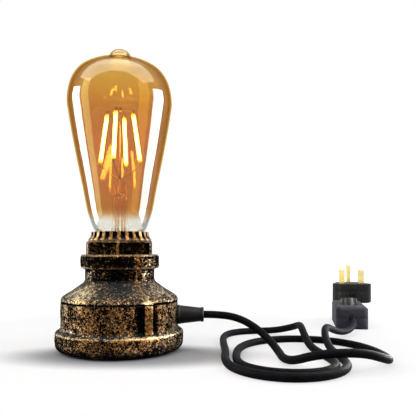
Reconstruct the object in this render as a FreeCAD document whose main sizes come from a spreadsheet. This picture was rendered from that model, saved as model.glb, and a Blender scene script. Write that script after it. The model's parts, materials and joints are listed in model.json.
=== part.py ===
import FreeCAD, Part
import math
import os
import re
import Sketcher
from FreeCAD import Placement, Rotation, Vector

# Pipe-fitting table lamp: a cast reducing socket stands on its wide end, a hex bushing and a
# fluted ring hold an E27 lampholder in its narrow end, and a two-core cord leaves through a
# gland, with an in-line rocker switch and a three-pin plug on it. Millimetres, +Z up, origin on
# the floor under the lamp's axis. The cord leaves along +X.

doc = FreeCAD.newDocument("pipe_lamp")

SIZES = {
    # cast base
    "flange_radius": 39.4,
    "flange_top": 13.5,
    "rim_lift": 0.8,
    "flange_foot_round": 4.5,
    "flange_top_round": 1.8,
    "barrel_radius": 36.0,
    "barrel_top": 29.5,
    "shoulder_round": 6.0,
    "neck_wall": 4.7,
    "neck_bottom": 46.0,
    "neck_round": 3.5,
    "collar_proud": 2.9,
    "collar_bottom": 50.1,
    "collar_top": 58.7,
    "collar_round": 2.2,
    "casting_wall": 7.0,
    "recess_width": 2.5,
    "rib_width": 5.2,
    "rib_proud": 2.0,
    "seam_width": 1.8,
    "seam_proud": 0.9,
    "rib_turn": 55.0,
    # closing plate and pad
    "pad_thickness": 3.2,
    "plate_thickness": 2.0,
    "plate_play": 0.3,
    "lug_radius": 4.5,
    "lug_height": 8.0,
    "plate_screw_radius": 1.55,
    "plate_screw_head": 3.2,
    "screw_play": 0.05,
    # bushing, ring and lampholder
    "neck_room": 1.7,
    "spigot_play": 0.05,
    "spigot_length": 14.2,
    "hex_margin": 5.4,
    "hex_height": 8.6,
    "hex_chamfer": 1.2,
    "hex_turn": 36.0,
    "holder_margin": 1.7,
    "holder_play": 0.1,
    "holder_wall": 0.75,
    "holder_floor": 3.0,
    "holder_flange": 1.3,
    "holder_flange_height": 3.0,
    "holder_rise": 11.5,
    "ring_height": 5.3,
    "ring_foot_margin": 5.1,
    "ring_top_margin": 2.6,
    "flute_count": 24,
    "flute_radius": 0.95,
    "flute_depth": 0.7,
    "block_radius": 13.5,
    "block_height": 9.0,
    "terminal_offset": 6.5,
    "terminal_side": 6.0,
    "terminal_height": 4.5,
    "rivet_radius": 1.2,
    "strip_width": 5.0,
    "strip_thickness": 0.5,
    # bulb
    "bulb_radius": 32.0,
    "bulb_height": 143.0,
    "glass_wall": 0.8,
    "cap_radius": 13.2,
    "thread_depth": 0.6,
    "thread_pitch": 3.62,
    "cap_height": 27.0,
    "cap_sheet": 0.35,
    "shell_gap": 0.2,
    "contact_gap": 0.2,
    "stem_radius": 4.9,
    "stem_top": 107.0,
    "filament_radius": 1.1,
    "filament_top": 145.8,
    "filament_foot": 115.7,
    "filament_top_ring": 8.4,
    "filament_foot_ring": 12.8,
    "filament_turn": -8.0,
    "support_radius": 0.4,
    # gland and cord
    "gland_level": 21.5,
    "gland_length": 16.7,
    "gland_foot_radius": 6.0,
    "gland_tip_radius": 4.2,
    "gland_rim": 1.2,
    "gland_thread_radius": 4.9,
    "gland_seat": 0.7,
    "nut_flats": 12.0,
    "nut_height": 4.0,
    "cord_radius": 2.3,
    "cord_play": 0.05,
    "core_radius": 1.0,
    # in-line switch
    "switch_x": 171.6,
    "switch_y": 107.7,
    "switch_turn": 80.0,
    "switch_length": 58.0,
    "switch_width": 24.2,
    "switch_height": 17.0,
    "switch_wall": 1.8,
    "switch_corner": 3.3,
    "switch_edge": 1.4,
    "switch_split": 8.0,
    "opening_end_play": 1.2,
    "opening_side_play": 0.4,
    "rocker_length": 17.6,
    "rocker_width": 12.3,
    "rocker_axis": 14.0,
    "rocker_tilt": 11.0,
    "seesaw_tilt": 5.0,
    "seesaw_length": 15.0,
    "sheath_inside": 9.0,
    # plug
    "plug_x": 222.0,
    "plug_y": 268.0,
    "plug_turn": 84.0,
    "plug_length": 51.5,
    "plug_width": 44.0,
    "plug_top_width": 24.6,
    "plug_thickness": 22.0,
    "plug_split": 13.0,
    "plug_wall": 2.2,
    "plug_cord_level": 10.0,
    "nozzle_length": 7.0,
    "nozzle_radius": 3.6,
    "pin_spacing": 22.2,
    "pin_row": 15.4,
    "cover_screw_row": 27.2,
    "grip_row": 6.9,
    "grip_offset": 6.8,
    "pin_width": 6.35,
    "pin_depth": 3.97,
    "earth_width": 7.95,
    "pin_length": 17.7,
    "earth_length": 22.7,
    "fuse_radius": 3.15,
    "fuse_length": 25.4,
}

# Sizes that follow from the ones above, so that what fits together still fits when one changes.
FITTED = {
    "holder_radius": "(cap_radius + holder_margin)",
    "neck_bore": "(cap_radius + holder_margin + neck_room)",
    "neck_radius": "(cap_radius + holder_margin + neck_room + neck_wall)",
    "collar_radius": "(cap_radius + holder_margin + neck_room + neck_wall + collar_proud)",
    "hex_flats": "(2 * (cap_radius + holder_margin + hex_margin))",
    "ring_foot_radius": "(cap_radius + holder_margin + ring_foot_margin)",
    "ring_top_radius": "(cap_radius + holder_margin + ring_top_margin)",
    "opening_length": "(rocker_length + 2 * opening_end_play)",
    "opening_width": "(rocker_width + 2 * opening_side_play)",
}

sheet = doc.addObject("Spreadsheet::Sheet", "dims")
for row, (alias, value) in enumerate(SIZES.items(), 1):
    sheet.set(f"A{row}", alias)
    sheet.set(f"B{row}", str(value))
    sheet.setAlias(f"B{row}", alias)
doc.recompute()

nodes = []


def expression(text):
    """The text as an expression of the sheet's cells."""
    def cell(word):
        name = word.group()
        if name in FITTED:
            return expression(FITTED[name])
        return "dims." + name if name in SIZES else name

    return re.sub(r"[a-z][a-z_]+", cell, str(text))


def number(text):
    """The present value of an expression of the sheet's cells."""
    return float(sheet.evalExpression(expression(text)))


def bind(thing, prop, text):
    thing.setExpression(prop, expression(text))


def place(thing, x="0", y="0", z="0"):
    for axis, text in (("x", x), ("y", y), ("z", z)):
        bind(thing, "Placement.Base." + axis, text)
    return thing


def cylinder(radius, height, x="0", y="0", z="0", along="z"):
    """A cylinder that starts at (x, y, z) and runs along one axis."""
    turns = {"z": Rotation(), "x": Rotation(Vector(0, 1, 0), 90), "y": Rotation(Vector(1, 0, 0), -90)}
    thing = doc.addObject("Part::Cylinder", "cylinder")
    bind(thing, "Radius", radius)
    bind(thing, "Height", height)
    thing.Placement = Placement(Vector(), turns[along])
    return place(thing, x, y, z)


def cone(radius_one, radius_two, height, x="0", y="0", z="0", along="z"):
    turns = {"z": Rotation(), "x": Rotation(Vector(0, 1, 0), 90)}
    thing = doc.addObject("Part::Cone", "cone")
    bind(thing, "Radius1", radius_one)
    bind(thing, "Radius2", radius_two)
    bind(thing, "Height", height)
    thing.Placement = Placement(Vector(), turns[along])
    return place(thing, x, y, z)


def box(length, width, height, x="0", y="0", z="0"):
    """A box centred on x and y, with its underside at z."""
    thing = doc.addObject("Part::Box", "box")
    bind(thing, "Length", length)
    bind(thing, "Width", width)
    bind(thing, "Height", height)
    return place(thing, f"({x}) - ({length}) / 2", f"({y}) - ({width}) / 2", z)


def joined(kind, name, things):
    thing = doc.addObject(kind, name)
    if kind == "Part::Cut":
        thing.Base, thing.Tool = things
    elif kind == "Part::Compound":
        thing.Links = things
    else:
        thing.Shapes = things
    return thing


def fuse(*things):
    return joined("Part::MultiFuse", "fuse", list(things))


def common(*things):
    return joined("Part::MultiCommon", "common", list(things))


def group(*things):
    return joined("Part::Compound", "group", list(things))


def cut(base, *tools):
    tool = tools[0] if len(tools) == 1 else fuse(*tools)
    return joined("Part::Cut", "cut", (base, tool))


def solid(shape):
    """A piece whose shape is worked out here from the sheet's values."""
    thing = doc.addObject("Part::Feature", "solid")
    thing.Shape = shape
    return thing


def profile(body, role, points):
    """A closed sketch on one of the body's planes.

    Each point is (x, y), or (x, y, radius) where the edge from it to the next one is an arc:
    a positive radius bulges to the right of the way round, a negative one to the left.
    """
    sketch = body.newObject("Sketcher::SketchObject", "profile")
    plane = [item for item in body.Origin.OriginFeatures if item.Role == role][0]
    sketch.AttachmentSupport = (plane, [""])
    sketch.MapMode = "FlatFace"
    corners = [Vector(number(point[0]), number(point[1]), 0) for point in points]
    count = len(points)
    for index, point in enumerate(points):
        start, end = corners[index], corners[(index + 1) % count]
        if len(point) == 3:
            radius = number(point[2])
            chord = end - start
            side = Vector(chord.y, -chord.x, 0).normalize() * math.copysign(1, radius)
            sagitta = abs(radius) - math.sqrt(max(radius ** 2 - (chord.Length / 2) ** 2, 0))
            middle = (start + end) * 0.5 + side * sagitta
            sketch.addGeometry(Part.Arc(start, middle, end), False)
        else:
            sketch.addGeometry(Part.LineSegment(start, end), False)
    ends = []
    for index, point in enumerate(points):
        arc = sketch.Geometry[index]
        flipped = len(point) == 3 and (arc.StartPoint - corners[index]).Length > 1e-6
        ends.append((2, 1) if flipped else (1, 2))
    for index in range(count):
        follower = (index + 1) % count
        sketch.addConstraint(Sketcher.Constraint("Coincident", index, ends[index][1],
                                                 follower, ends[follower][0]))
    for index, point in enumerate(points):
        for kind, text, value in (("DistanceX", point[0], corners[index].x),
                                  ("DistanceY", point[1], corners[index].y)):
            where = sketch.addConstraint(Sketcher.Constraint(kind, -1, 1, index, ends[index][0], value))
            sketch.setExpression(f"Constraints[{where}]", expression(text))
        if len(point) == 3:
            where = sketch.addConstraint(Sketcher.Constraint("Radius", index, abs(number(point[2]))))
            sketch.setExpression(f"Constraints[{where}]", f"abs({expression(point[2])})")
    return sketch


def turned(points):
    """A body of revolution about Z from a profile of (radius, height) points."""
    body = doc.addObject("PartDesign::Body", "turned")
    sketch = profile(body, "XZ_Plane", points)
    feature = body.newObject("PartDesign::Revolution", "revolution")
    feature.Profile = sketch
    feature.ReferenceAxis = (sketch, ["V_Axis"])
    feature.Angle = 360
    return body


def padded(role, points, length, midplane=False):
    """A body extruded from a profile on one of the origin planes."""
    body = doc.addObject("PartDesign::Body", "padded")
    sketch = profile(body, role, points)
    feature = body.newObject("PartDesign::Pad", "pad")
    feature.Profile = sketch
    feature.Midplane = midplane
    bind(feature, "Length", length)
    return body


def rod(start, end, radius):
    """A straight round rod between two points."""
    start, end = Vector(*start), Vector(*end)
    return Part.makeCylinder(radius, (end - start).Length, start, end - start)


def route_wire(points):
    """Straight runs joined by tangent arcs, each as large as its two runs allow."""
    share = 0.45
    points = [Vector(*point) for point in points]
    edges = []
    radii = []
    start = points[0]
    for before, corner, after in zip(points, points[1:], points[2:]):
        reach = share * min((corner - before).Length, (after - corner).Length)
        inward = (corner - before).normalize()
        onward = (after - corner).normalize()
        half = inward.getAngle(onward) / 2
        radius = reach / math.tan(half)
        radii.append(radius)
        enter = corner - inward * reach
        leave = corner + onward * reach
        towards = (onward - inward).normalize()
        middle = corner + towards * (radius / math.cos(half) - radius)
        edges.append(Part.LineSegment(start, enter).toShape())
        edges.append(Part.Arc(enter, middle, leave).toShape())
        start = leave
    edges.append(Part.LineSegment(start, points[-1]).toShape())
    return Part.Wire(edges), radii


def route_tube(points, radius):
    """A round tube along a route, and its length and bend radii."""
    wire, radii = route_wire(points)
    first = wire.Edges[0]
    circle = Part.Wire(Part.Circle(first.valueAt(first.FirstParameter), first.tangentAt(0), radius).toShape())
    tube = wire.makePipeShell([circle], True, False, 2)
    return tube, wire.Length, radii


def node(name, thing, placement=None):
    """Register a sub-part under its name, moved as one with what it belongs to."""
    thing.Label = name
    if placement is not None:
        thing.Placement = placement
    nodes.append(thing)
    return thing


# ---------------------------------------------------------------- levels shared by the stack
PLATE_BOTTOM = "pad_thickness"
PLATE_TOP = "(pad_thickness + plate_thickness)"
CAVITY = "(barrel_radius - casting_wall)"
RECESS = "(barrel_radius - casting_wall + recess_width)"
RING_BOTTOM = "(collar_top + hex_height)"
RING_TOP = "(collar_top + hex_height + ring_height)"
SPIGOT_FOOT = "(collar_top - spigot_length)"
HOLDER_BOTTOM = "(collar_top - spigot_length - holder_flange_height - 4.5)"
HOLDER_INSIDE = "(collar_top - spigot_length - holder_flange_height - 4.5 + holder_floor)"
HOLDER_TOP = "(collar_top + holder_rise)"
CUP_RADIUS = "(holder_radius - holder_wall)"
CAP_FOOT = "(collar_top - spigot_length - holder_flange_height - 4.5 + holder_floor + 2.3 + contact_gap)"
BLOCK_BOTTOM = "(collar_top - spigot_length - holder_flange_height - 4.5 - block_height)"


def base_casting():
    """Malleable-iron reducing socket, open below, with two cast ribs and a drilled gland hole."""
    shoulder = [
        ("barrel_radius", "barrel_top", "shoulder_round"),
        ("barrel_radius - 3", "barrel_top + 5.5"),
        ("neck_radius + 2.1", "neck_bottom - 4", "-neck_round"),
        ("neck_radius", "neck_bottom - 0.6"),
        ("neck_radius", "collar_bottom"),
        ("collar_radius - collar_round", "collar_bottom", "collar_round"),
        ("collar_radius", "collar_bottom + collar_round"),
        ("collar_radius", "collar_top - collar_round", "collar_round"),
        ("collar_radius - collar_round", "collar_top"),
    ]
    outside = [
        ("flange_radius - flange_foot_round", "rim_lift", "flange_foot_round"),
        ("flange_radius", "rim_lift + flange_foot_round"),
        ("flange_radius", "flange_top - flange_top_round", "flange_top_round"),
        ("flange_radius - flange_top_round", "flange_top"),
        ("barrel_radius", "flange_top"),
    ]
    inside = [
        ("neck_bore", "collar_top"),
        ("neck_bore", "neck_bottom - 3.5"),
        (CAVITY, "barrel_top + 1"),
        (CAVITY, PLATE_TOP),
        (RECESS, PLATE_TOP),
        (RECESS, "rim_lift"),
    ]
    shell = turned(outside + shoulder + inside)

    def ribs(width, proud):
        envelope = turned([
            ("0", "flange_top - 1"),
            (f"barrel_radius + {proud}", "flange_top - 1"),
            (f"barrel_radius + {proud}", "barrel_top"),
            (f"barrel_radius - 2.2 + {proud}", "barrel_top + 5.5"),
            (f"neck_radius + 2.1 + {proud}", "neck_bottom - 3.5"),
            (f"neck_radius + {proud}", "neck_bottom"),
            (f"neck_radius + {proud}", "collar_bottom + 0.5"),
            ("0", "collar_bottom + 0.5"),
        ])
        return common(box("3 * barrel_radius", width, "collar_top", "0", "0", "flange_top - 1"), envelope)

    wide = cut(ribs("rib_width", "rib_proud"),
               cylinder("2 * flange_radius", "collar_top", z="barrel_top + 3"))
    seams = ribs("seam_width", "seam_proud")
    core = turned([("0", "flange_top - 2"), ("barrel_radius - 3", "flange_top - 2"),
                   ("barrel_radius - 3", "barrel_top"), ("neck_radius - 2", "neck_bottom - 1.5"),
                   ("neck_radius - 2", "collar_bottom + 1"), ("0", "collar_bottom + 1")])
    rib_pair = cut(fuse(wide, seams), core)
    rib_pair.Placement = Placement(Vector(), Rotation(Vector(0, 0, 1), -number("rib_turn")))
    lugs = [lug_at(angle, cylinder("lug_radius", "lug_height", z=PLATE_TOP)) for angle in LUG_ANGLES]
    hole_radius = "plate_screw_radius + screw_play"
    holes = [lug_at(angle, cylinder(hole_radius, "lug_height - 1.5", z=f"{PLATE_TOP} - 0.1"))
             for angle in LUG_ANGLES]
    gland_hole = cylinder("gland_thread_radius + screw_play", "2 * casting_wall", f"{CAVITY} - 2",
                          z="gland_level", along="x")
    seat = cylinder("gland_foot_radius + 0.4", "casting_wall", "barrel_radius - gland_seat",
                    z="gland_level", along="x")
    whole = fuse(shell, rib_pair, *lugs)
    node("base_casting", cut(whole, gland_hole, seat, *holes))


LUG_ANGLES = (60, 180, 300)


def lug_at(angle, thing):
    """Put a piece on the circle of the plate's three screws."""
    reach = "(barrel_radius - casting_wall - lug_radius + 1)"
    turn = math.radians(angle)
    bind(thing, "Placement.Base.x", f"{reach} * {math.cos(turn):.6f}")
    bind(thing, "Placement.Base.y", f"{reach} * {math.sin(turn):.6f}")
    return thing


def base_closing():
    """Steel plate in the recess under the casting, its three screws and the rubber pad."""
    plate = cylinder(f"{RECESS} - plate_play", "plate_thickness", z=PLATE_BOTTOM)
    sinks = []
    screws = []
    head = "(plate_thickness - 0.3)"
    for angle in LUG_ANGLES:
        hole_radius = "plate_screw_radius + screw_play"
        sinks.append(lug_at(angle, cone("plate_screw_head + screw_play", hole_radius, head, z=PLATE_BOTTOM)))
        sinks.append(lug_at(angle, cylinder(hole_radius, "plate_thickness", z=PLATE_BOTTOM)))
        length = "plate_thickness + lug_height - 2.5"
        shank = lug_at(angle, cylinder("plate_screw_radius", length, z=PLATE_BOTTOM))
        top = lug_at(angle, cone("plate_screw_head", "plate_screw_radius", head, z=PLATE_BOTTOM))
        slot = lug_at(angle, cylinder("0.8", "0.9", z=f"{PLATE_BOTTOM} - 0.1"))
        screws.append(cut(fuse(shank, top), slot))
    node("base_cover_plate", cut(plate, *sinks))
    node("cover_plate_screws", group(*screws))
    node("foot_pad", turned([
        ("0", "0"),
        (f"{RECESS} - 1.4", "0"),
        (f"{RECESS} - 0.6", "0.8"),
        (f"{RECESS} - 0.6", "pad_thickness"),
        ("0", "pad_thickness"),
    ]))


def bushing_and_ring():
    """Hex bushing screwed into the neck, and the fluted ring that clamps the lampholder on it."""
    prism = doc.addObject("Part::Prism", "prism")
    prism.Polygon = 6
    bind(prism, "Circumradius", "hex_flats / 2 / cos(30)")
    bind(prism, "Height", "hex_height")
    prism.Placement = Placement(Vector(), Rotation(Vector(0, 0, 1), number("hex_turn")))
    place(prism, z="collar_top")
    corner = "hex_flats / 2 / cos(30)"
    turned_edges = turned([
        ("0", "collar_top"),
        (f"{corner} - 0.6", "collar_top"),
        (f"{corner} + 0.1", "collar_top + 0.5"),
        (f"{corner} + 0.1", f"{RING_BOTTOM} - hex_chamfer"),
        ("hex_flats / 2 + 0.3", RING_BOTTOM),
        ("0", RING_BOTTOM),
    ])
    spigot = cylinder("neck_bore - spigot_play", "spigot_length + 1", z=SPIGOT_FOOT)
    bore = cylinder("holder_radius + holder_play", "spigot_length + hex_height + 2", z=f"{SPIGOT_FOOT} - 1")
    node("hex_bushing", cut(fuse(common(prism, turned_edges), spigot), bore))

    flare = "(ring_foot_radius - ring_top_radius)"
    ring = turned([
        ("holder_radius + screw_play", RING_BOTTOM),
        ("ring_foot_radius", RING_BOTTOM),
        ("ring_foot_radius", f"{RING_BOTTOM} + 0.7"),
        (f"ring_top_radius + {flare} * 0.55", f"{RING_BOTTOM} + ring_height * 0.36"),
        (f"ring_top_radius + {flare} * 0.2", f"{RING_BOTTOM} + ring_height * 0.64"),
        ("ring_top_radius", f"{RING_TOP} - 0.4"),
        ("ring_top_radius - 0.4", RING_TOP),
        ("ring_top_radius - 0.9", RING_TOP),
        ("holder_radius + screw_play", f"{RING_TOP} - 2.1"),
    ])
    flutes = []
    lean = math.degrees(math.atan2(number("ring_foot_radius - ring_top_radius"), number("ring_height")))
    for index in range(int(number("flute_count"))):
        turn = index * 360 / number("flute_count")
        flute = doc.addObject("Part::Cylinder", "flute")
        bind(flute, "Radius", "flute_radius")
        bind(flute, "Height", "ring_height + 3")
        spin = Rotation(Vector(0, 0, 1), turn)
        reach = number("ring_foot_radius + flute_radius - flute_depth")
        foot = spin.multVec(Vector(reach, 0, number(RING_BOTTOM) - 0.9))
        flute.Placement = Placement(foot, spin * Rotation(Vector(0, 1, 0), -lean))
        flutes.append(flute)
    node("fluted_ring", cut(ring, *flutes))


def lampholder():
    """E27 lampholder: moulded cup, screw shell, centre contact, terminal block and rivets."""
    cup = turned([
        ("0", HOLDER_BOTTOM),
        ("holder_radius - 1", HOLDER_BOTTOM),
        ("holder_radius", f"{HOLDER_BOTTOM} + 1"),
        ("holder_radius", f"{SPIGOT_FOOT} - holder_flange_height"),
        ("holder_radius + holder_flange", f"{SPIGOT_FOOT} - holder_flange_height"),
        ("holder_radius + holder_flange", SPIGOT_FOOT),
        ("holder_radius", SPIGOT_FOOT),
        ("holder_radius", HOLDER_TOP),
        (CUP_RADIUS, HOLDER_TOP),
        (CUP_RADIUS, HOLDER_INSIDE),
        ("0", HOLDER_INSIDE),
    ])
    block = cylinder("block_radius", "block_height", z=BLOCK_BOTTOM)
    cup_holes = []
    block_holes = []
    rivets = []
    terminals = []
    screws = []
    for side in (1, -1):
        y = f"{side} * terminal_offset"
        bore = "rivet_radius + 0.02"
        cup_holes.append(cylinder(bore, "holder_floor + 2", y=y, z=f"{HOLDER_BOTTOM} - 1"))
        block_holes.append(cylinder(bore, "block_height + 2", y=y, z=f"{BLOCK_BOTTOM} - 1"))
        stem = cylinder("rivet_radius", "block_height + holder_floor + strip_thickness", y=y, z=BLOCK_BOTTOM)
        head = cylinder("rivet_radius + 0.8", "0.8", y=y, z=f"{HOLDER_INSIDE} + strip_thickness")
        rivets.append(fuse(stem, head))
        body = box("terminal_side", "terminal_side", "terminal_height", "0", y,
                   f"{BLOCK_BOTTOM} - terminal_height")
        socket = cylinder("0.85", "terminal_side / 2", "0.5", y, f"{BLOCK_BOTTOM} - terminal_height / 2", "x")
        tapped = cylinder("1.1", "terminal_height / 2", "0.5", y, f"{BLOCK_BOTTOM} - terminal_height - 0.1")
        terminals.append(cut(body, socket, tapped))
        under = f"{BLOCK_BOTTOM} - terminal_height"
        shank = cylinder("1.05", "terminal_height / 2 + 0.7", "0.5", y, f"{under} - 1")
        cap = cylinder("1.9", "1.2", "0.5", y, f"{under} - 1.3")
        slot = box("4", "0.5", "0.6", "0.5", y, f"{under} - 1.4")
        screws.append(cut(fuse(shank, cap), slot))
    node("holder_body", cut(cup, *cup_holes))
    node("holder_terminal_block", cut(block, *block_holes))
    node("holder_rivets", group(*rivets))
    node("holder_terminals", group(*terminals))
    node("holder_terminal_screws", group(*screws))

    shell_in = "(cap_radius + shell_gap)"
    sheet_metal = "(cap_sheet)"
    rings = int((number(HOLDER_TOP) - number(f"{HOLDER_INSIDE} + 4")) / number("thread_pitch")) * 2
    inner = []
    outer = []
    for index in range(rings + 1):
        level = f"{HOLDER_INSIDE} + 4 + thread_pitch / 2 * {index}"
        swell = "0.3" if index % 2 else "0"
        inner.append((f"{shell_in} + {swell} * (thread_depth / 0.6)", level))
        outer.append((f"{shell_in} + {swell} * (thread_depth / 0.6) + {sheet_metal} - 0.05", level))
    shell = turned(inner[::-1] + outer)
    strap = box("strip_width", "8.6", "strip_thickness", "0", f"{CUP_RADIUS} - 4.35", HOLDER_INSIDE)
    leg = box("strip_width", "0.6", "5", "0", f"{CUP_RADIUS} - 0.4", HOLDER_INSIDE)
    leg_trim = cylinder(f"{CUP_RADIUS} - 0.05", "40", z=HOLDER_INSIDE)
    hole = cylinder("rivet_radius + 0.02", "3", y="terminal_offset", z=f"{HOLDER_INSIDE} - 1")
    node("holder_screw_shell", cut(fuse(shell, common(fuse(strap, leg), leg_trim)), hole))

    rise = "(2.3 - strip_thickness)"
    leaf = padded("YZ_Plane", [
        ("-terminal_offset - 3", HOLDER_INSIDE),
        ("-terminal_offset + 2.2", HOLDER_INSIDE),
        ("-1.2", f"{HOLDER_INSIDE} + {rise}"),
        ("2.4", f"{HOLDER_INSIDE} + {rise}"),
        ("2.4", f"{HOLDER_INSIDE} + {rise} + strip_thickness"),
        ("-1.4", f"{HOLDER_INSIDE} + {rise} + strip_thickness"),
        ("-terminal_offset + 2", f"{HOLDER_INSIDE} + strip_thickness"),
        ("-terminal_offset - 3", f"{HOLDER_INSIDE} + strip_thickness"),
    ], "strip_width", midplane=True)
    leaf_hole = cylinder("rivet_radius + 0.02", "3", y="-terminal_offset", z=f"{HOLDER_INSIDE} - 1")
    node("holder_centre_contact", cut(leaf, leaf_hole))


def bulb_outline():
    """Radius and height of the blown envelope, from the neck's end to the tip of the nipple."""
    width = number("bulb_radius") / 32
    neck_width = number("cap_radius") / 13.2
    neck_height = 10
    foot = number(f"{CAP_FOOT} + cap_height - 3.5")
    rise = (number(f"{CAP_FOOT} + bulb_height") - foot) / 119.5
    stations = [(12.2, 0.0), (12.65, 3.0), (14.0, 5.7), (16.0, 8.4), (19.3, 17.7), (22.6, 34.3),
                (27.1, 56.4), (31.0, 78.6), (32.0, 87.8), (29.9, 98.6), (25.4, 105.6), (17.6, 110.2),
                (10.8, 112.3), (7.9, 113.4), (6.8, 115.2), (5.9, 117.2), (3.8, 118.9), (0.0, 119.5)]
    points = []
    for radius, height in stations:
        spread = radius * (neck_width if height < neck_height else width)
        points.append(Vector(spread, 0, foot + height * rise))
    return points


def revolved(edges):
    """A full turn about Z of the closed outline that the edges make."""
    face = Part.Face(Part.Wire(edges))
    return face.revolve(Vector(0, 0, 0), Vector(0, 0, 1), 360)


def bulb():
    """LED filament bulb: envelope, stem, wires, four filaments, cap and the driver inside it."""
    outer = Part.BSplineCurve()
    outer.interpolate(Points=bulb_outline(), InitialTangent=Vector(0.15, 0, 1), FinalTangent=Vector(-1, 0, 0))
    wall = number("glass_wall")
    inner_points = []
    for point in bulb_outline():
        direction = outer.tangent(outer.parameter(point))[0]
        inner_points.append(point + Vector(-direction.z, 0, direction.x) * wall)
    inner_points[0].z = bulb_outline()[0].z
    inner_points[-1].x = 0
    inner = Part.BSplineCurve()
    inner.interpolate(Points=inner_points, InitialTangent=Vector(0.15, 0, 1), FinalTangent=Vector(-1, 0, 0))
    rim = Part.LineSegment(inner_points[0], bulb_outline()[0])
    tip = Part.LineSegment(bulb_outline()[-1], inner_points[-1])
    glass = revolved([outer.toShape(), tip.toShape(), inner.toShape(), rim.toShape()])
    node("bulb_glass", solid(glass))

    neck = number(f"{CAP_FOOT} + cap_height - 3.5")
    top = number("stem_top")
    radius = number("stem_radius")
    flare = bulb_outline()[0].x - wall - 0.1
    node("bulb_stem", turned([
        (flare - 1, neck), (flare, neck), (flare - 2.6, neck + 2.4), (flare - 5, neck + 5.2),
        (radius, neck + 10),
        (radius, top - 9), (radius - 1.6, top - 3), (1.4, top), (0, top), (0, top - 9),
        (radius - 1, top - 13), (radius - 1, neck + 9.6), (flare - 6, neck + 4.6), (flare - 3.4, neck + 1.8),
    ]))
    wires = []
    spread = radius - 1.4 - number("support_radius")
    for side in (-1, -0.4, 0.4, 1):
        start = (side * spread, 0, neck - 4.8)
        end = (side * spread, 0, top - 13.4)
        wires.append(rod(start, end, number("support_radius")))
    node("lead_in_wires", solid(Part.makeCompound(wires)))

    filaments = []
    supports = [rod((0, 0, top - 0.2), (0, 0, number("filament_top") + 3.4), number("support_radius") + 0.1)]
    for index in range(4):
        turn = math.radians(number("filament_turn") + 90 * index)
        along = Vector(math.cos(turn), math.sin(turn), 0)
        upper = along * number("filament_top_ring") + Vector(0, 0, number("filament_top"))
        lower = along * number("filament_foot_ring") + Vector(0, 0, number("filament_foot"))
        run = (upper - lower).normalize()
        filaments.append(rod(lower, upper, number("filament_radius")))
        wire = number("support_radius")
        crimp = 1.8
        supports.append(rod(upper, upper + run * crimp, wire + 0.25))
        supports.append(rod(lower - run * crimp, lower, wire + 0.25))
        supports.append(rod(upper + run * crimp, Vector(0, 0, number("filament_top") + 3.2), wire))
        supports.append(rod(lower - run * crimp, along * 3.1 + Vector(0, 0, top - 4.2), wire))
    holder = supports[0].multiFuse(supports[1:])
    stem_top = Part.makeCylinder(radius + 0.05, 40, Vector(0, 0, top - 40))
    node("led_filaments", solid(Part.makeCompound(filaments)))
    node("filament_supports", solid(holder.cut(stem_top)))

    crest = "cap_radius"
    root = "cap_radius - thread_depth"
    outside = []
    inside = []
    turns = int((number("cap_height") - 10) / number("thread_pitch")) * 2
    for index in range(turns + 1):
        level = f"{CAP_FOOT} + 5.4 + thread_pitch / 2 * {index}"
        edge = crest if index % 2 else root
        outside.append((edge, level))
        inside.append((f"{edge} - cap_sheet", level))
    foot = [("cap_radius - 4.4", f"{CAP_FOOT} + 2.6"), ("cap_radius - 1.6", f"{CAP_FOOT} + 3.4")]
    foot_inside = [("cap_radius - 2.1", f"{CAP_FOOT} + 3.8"), ("cap_radius - 4.4", f"{CAP_FOOT} + 2.95")]
    skirt = [(crest, f"{CAP_FOOT} + cap_height - 4.6"), (crest, f"{CAP_FOOT} + cap_height")]
    skirt_inside = [("cap_radius - cap_sheet", f"{CAP_FOOT} + cap_height"),
                    ("cap_radius - cap_sheet", f"{CAP_FOOT} + cap_height - 4.6")]
    node("bulb_cap", turned(foot + outside + skirt + skirt_inside + inside[::-1] + foot_inside))
    node("cap_insulator", turned([
        ("0", f"{CAP_FOOT} + 1.2"), ("4.8", f"{CAP_FOOT} + 1.0"), ("cap_radius - 4.4", f"{CAP_FOOT} + 2.55"),
        ("cap_radius - 4.4", f"{CAP_FOOT} + 4"), ("0", f"{CAP_FOOT} + 4"),
    ]))
    node("cap_contact", turned([
        ("0", CAP_FOOT), ("3.6", CAP_FOOT), ("4.7", f"{CAP_FOOT} + 0.95"), ("0", f"{CAP_FOOT} + 1.15"),
    ]))
    board = box("15", "1.6", "14", "0", "0", f"{CAP_FOOT} + 4.1")
    parts = [cylinder("3.2", "8", "-3", "4.1", f"{CAP_FOOT} + 5"), box("5", "2.4", "7", "3.6", "2.05",
             f"{CAP_FOOT} + 6"), box("4", "1.8", "5", "0", "-1.75", f"{CAP_FOOT} + 7")]
    node("led_driver", group(board, *parts))


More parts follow.
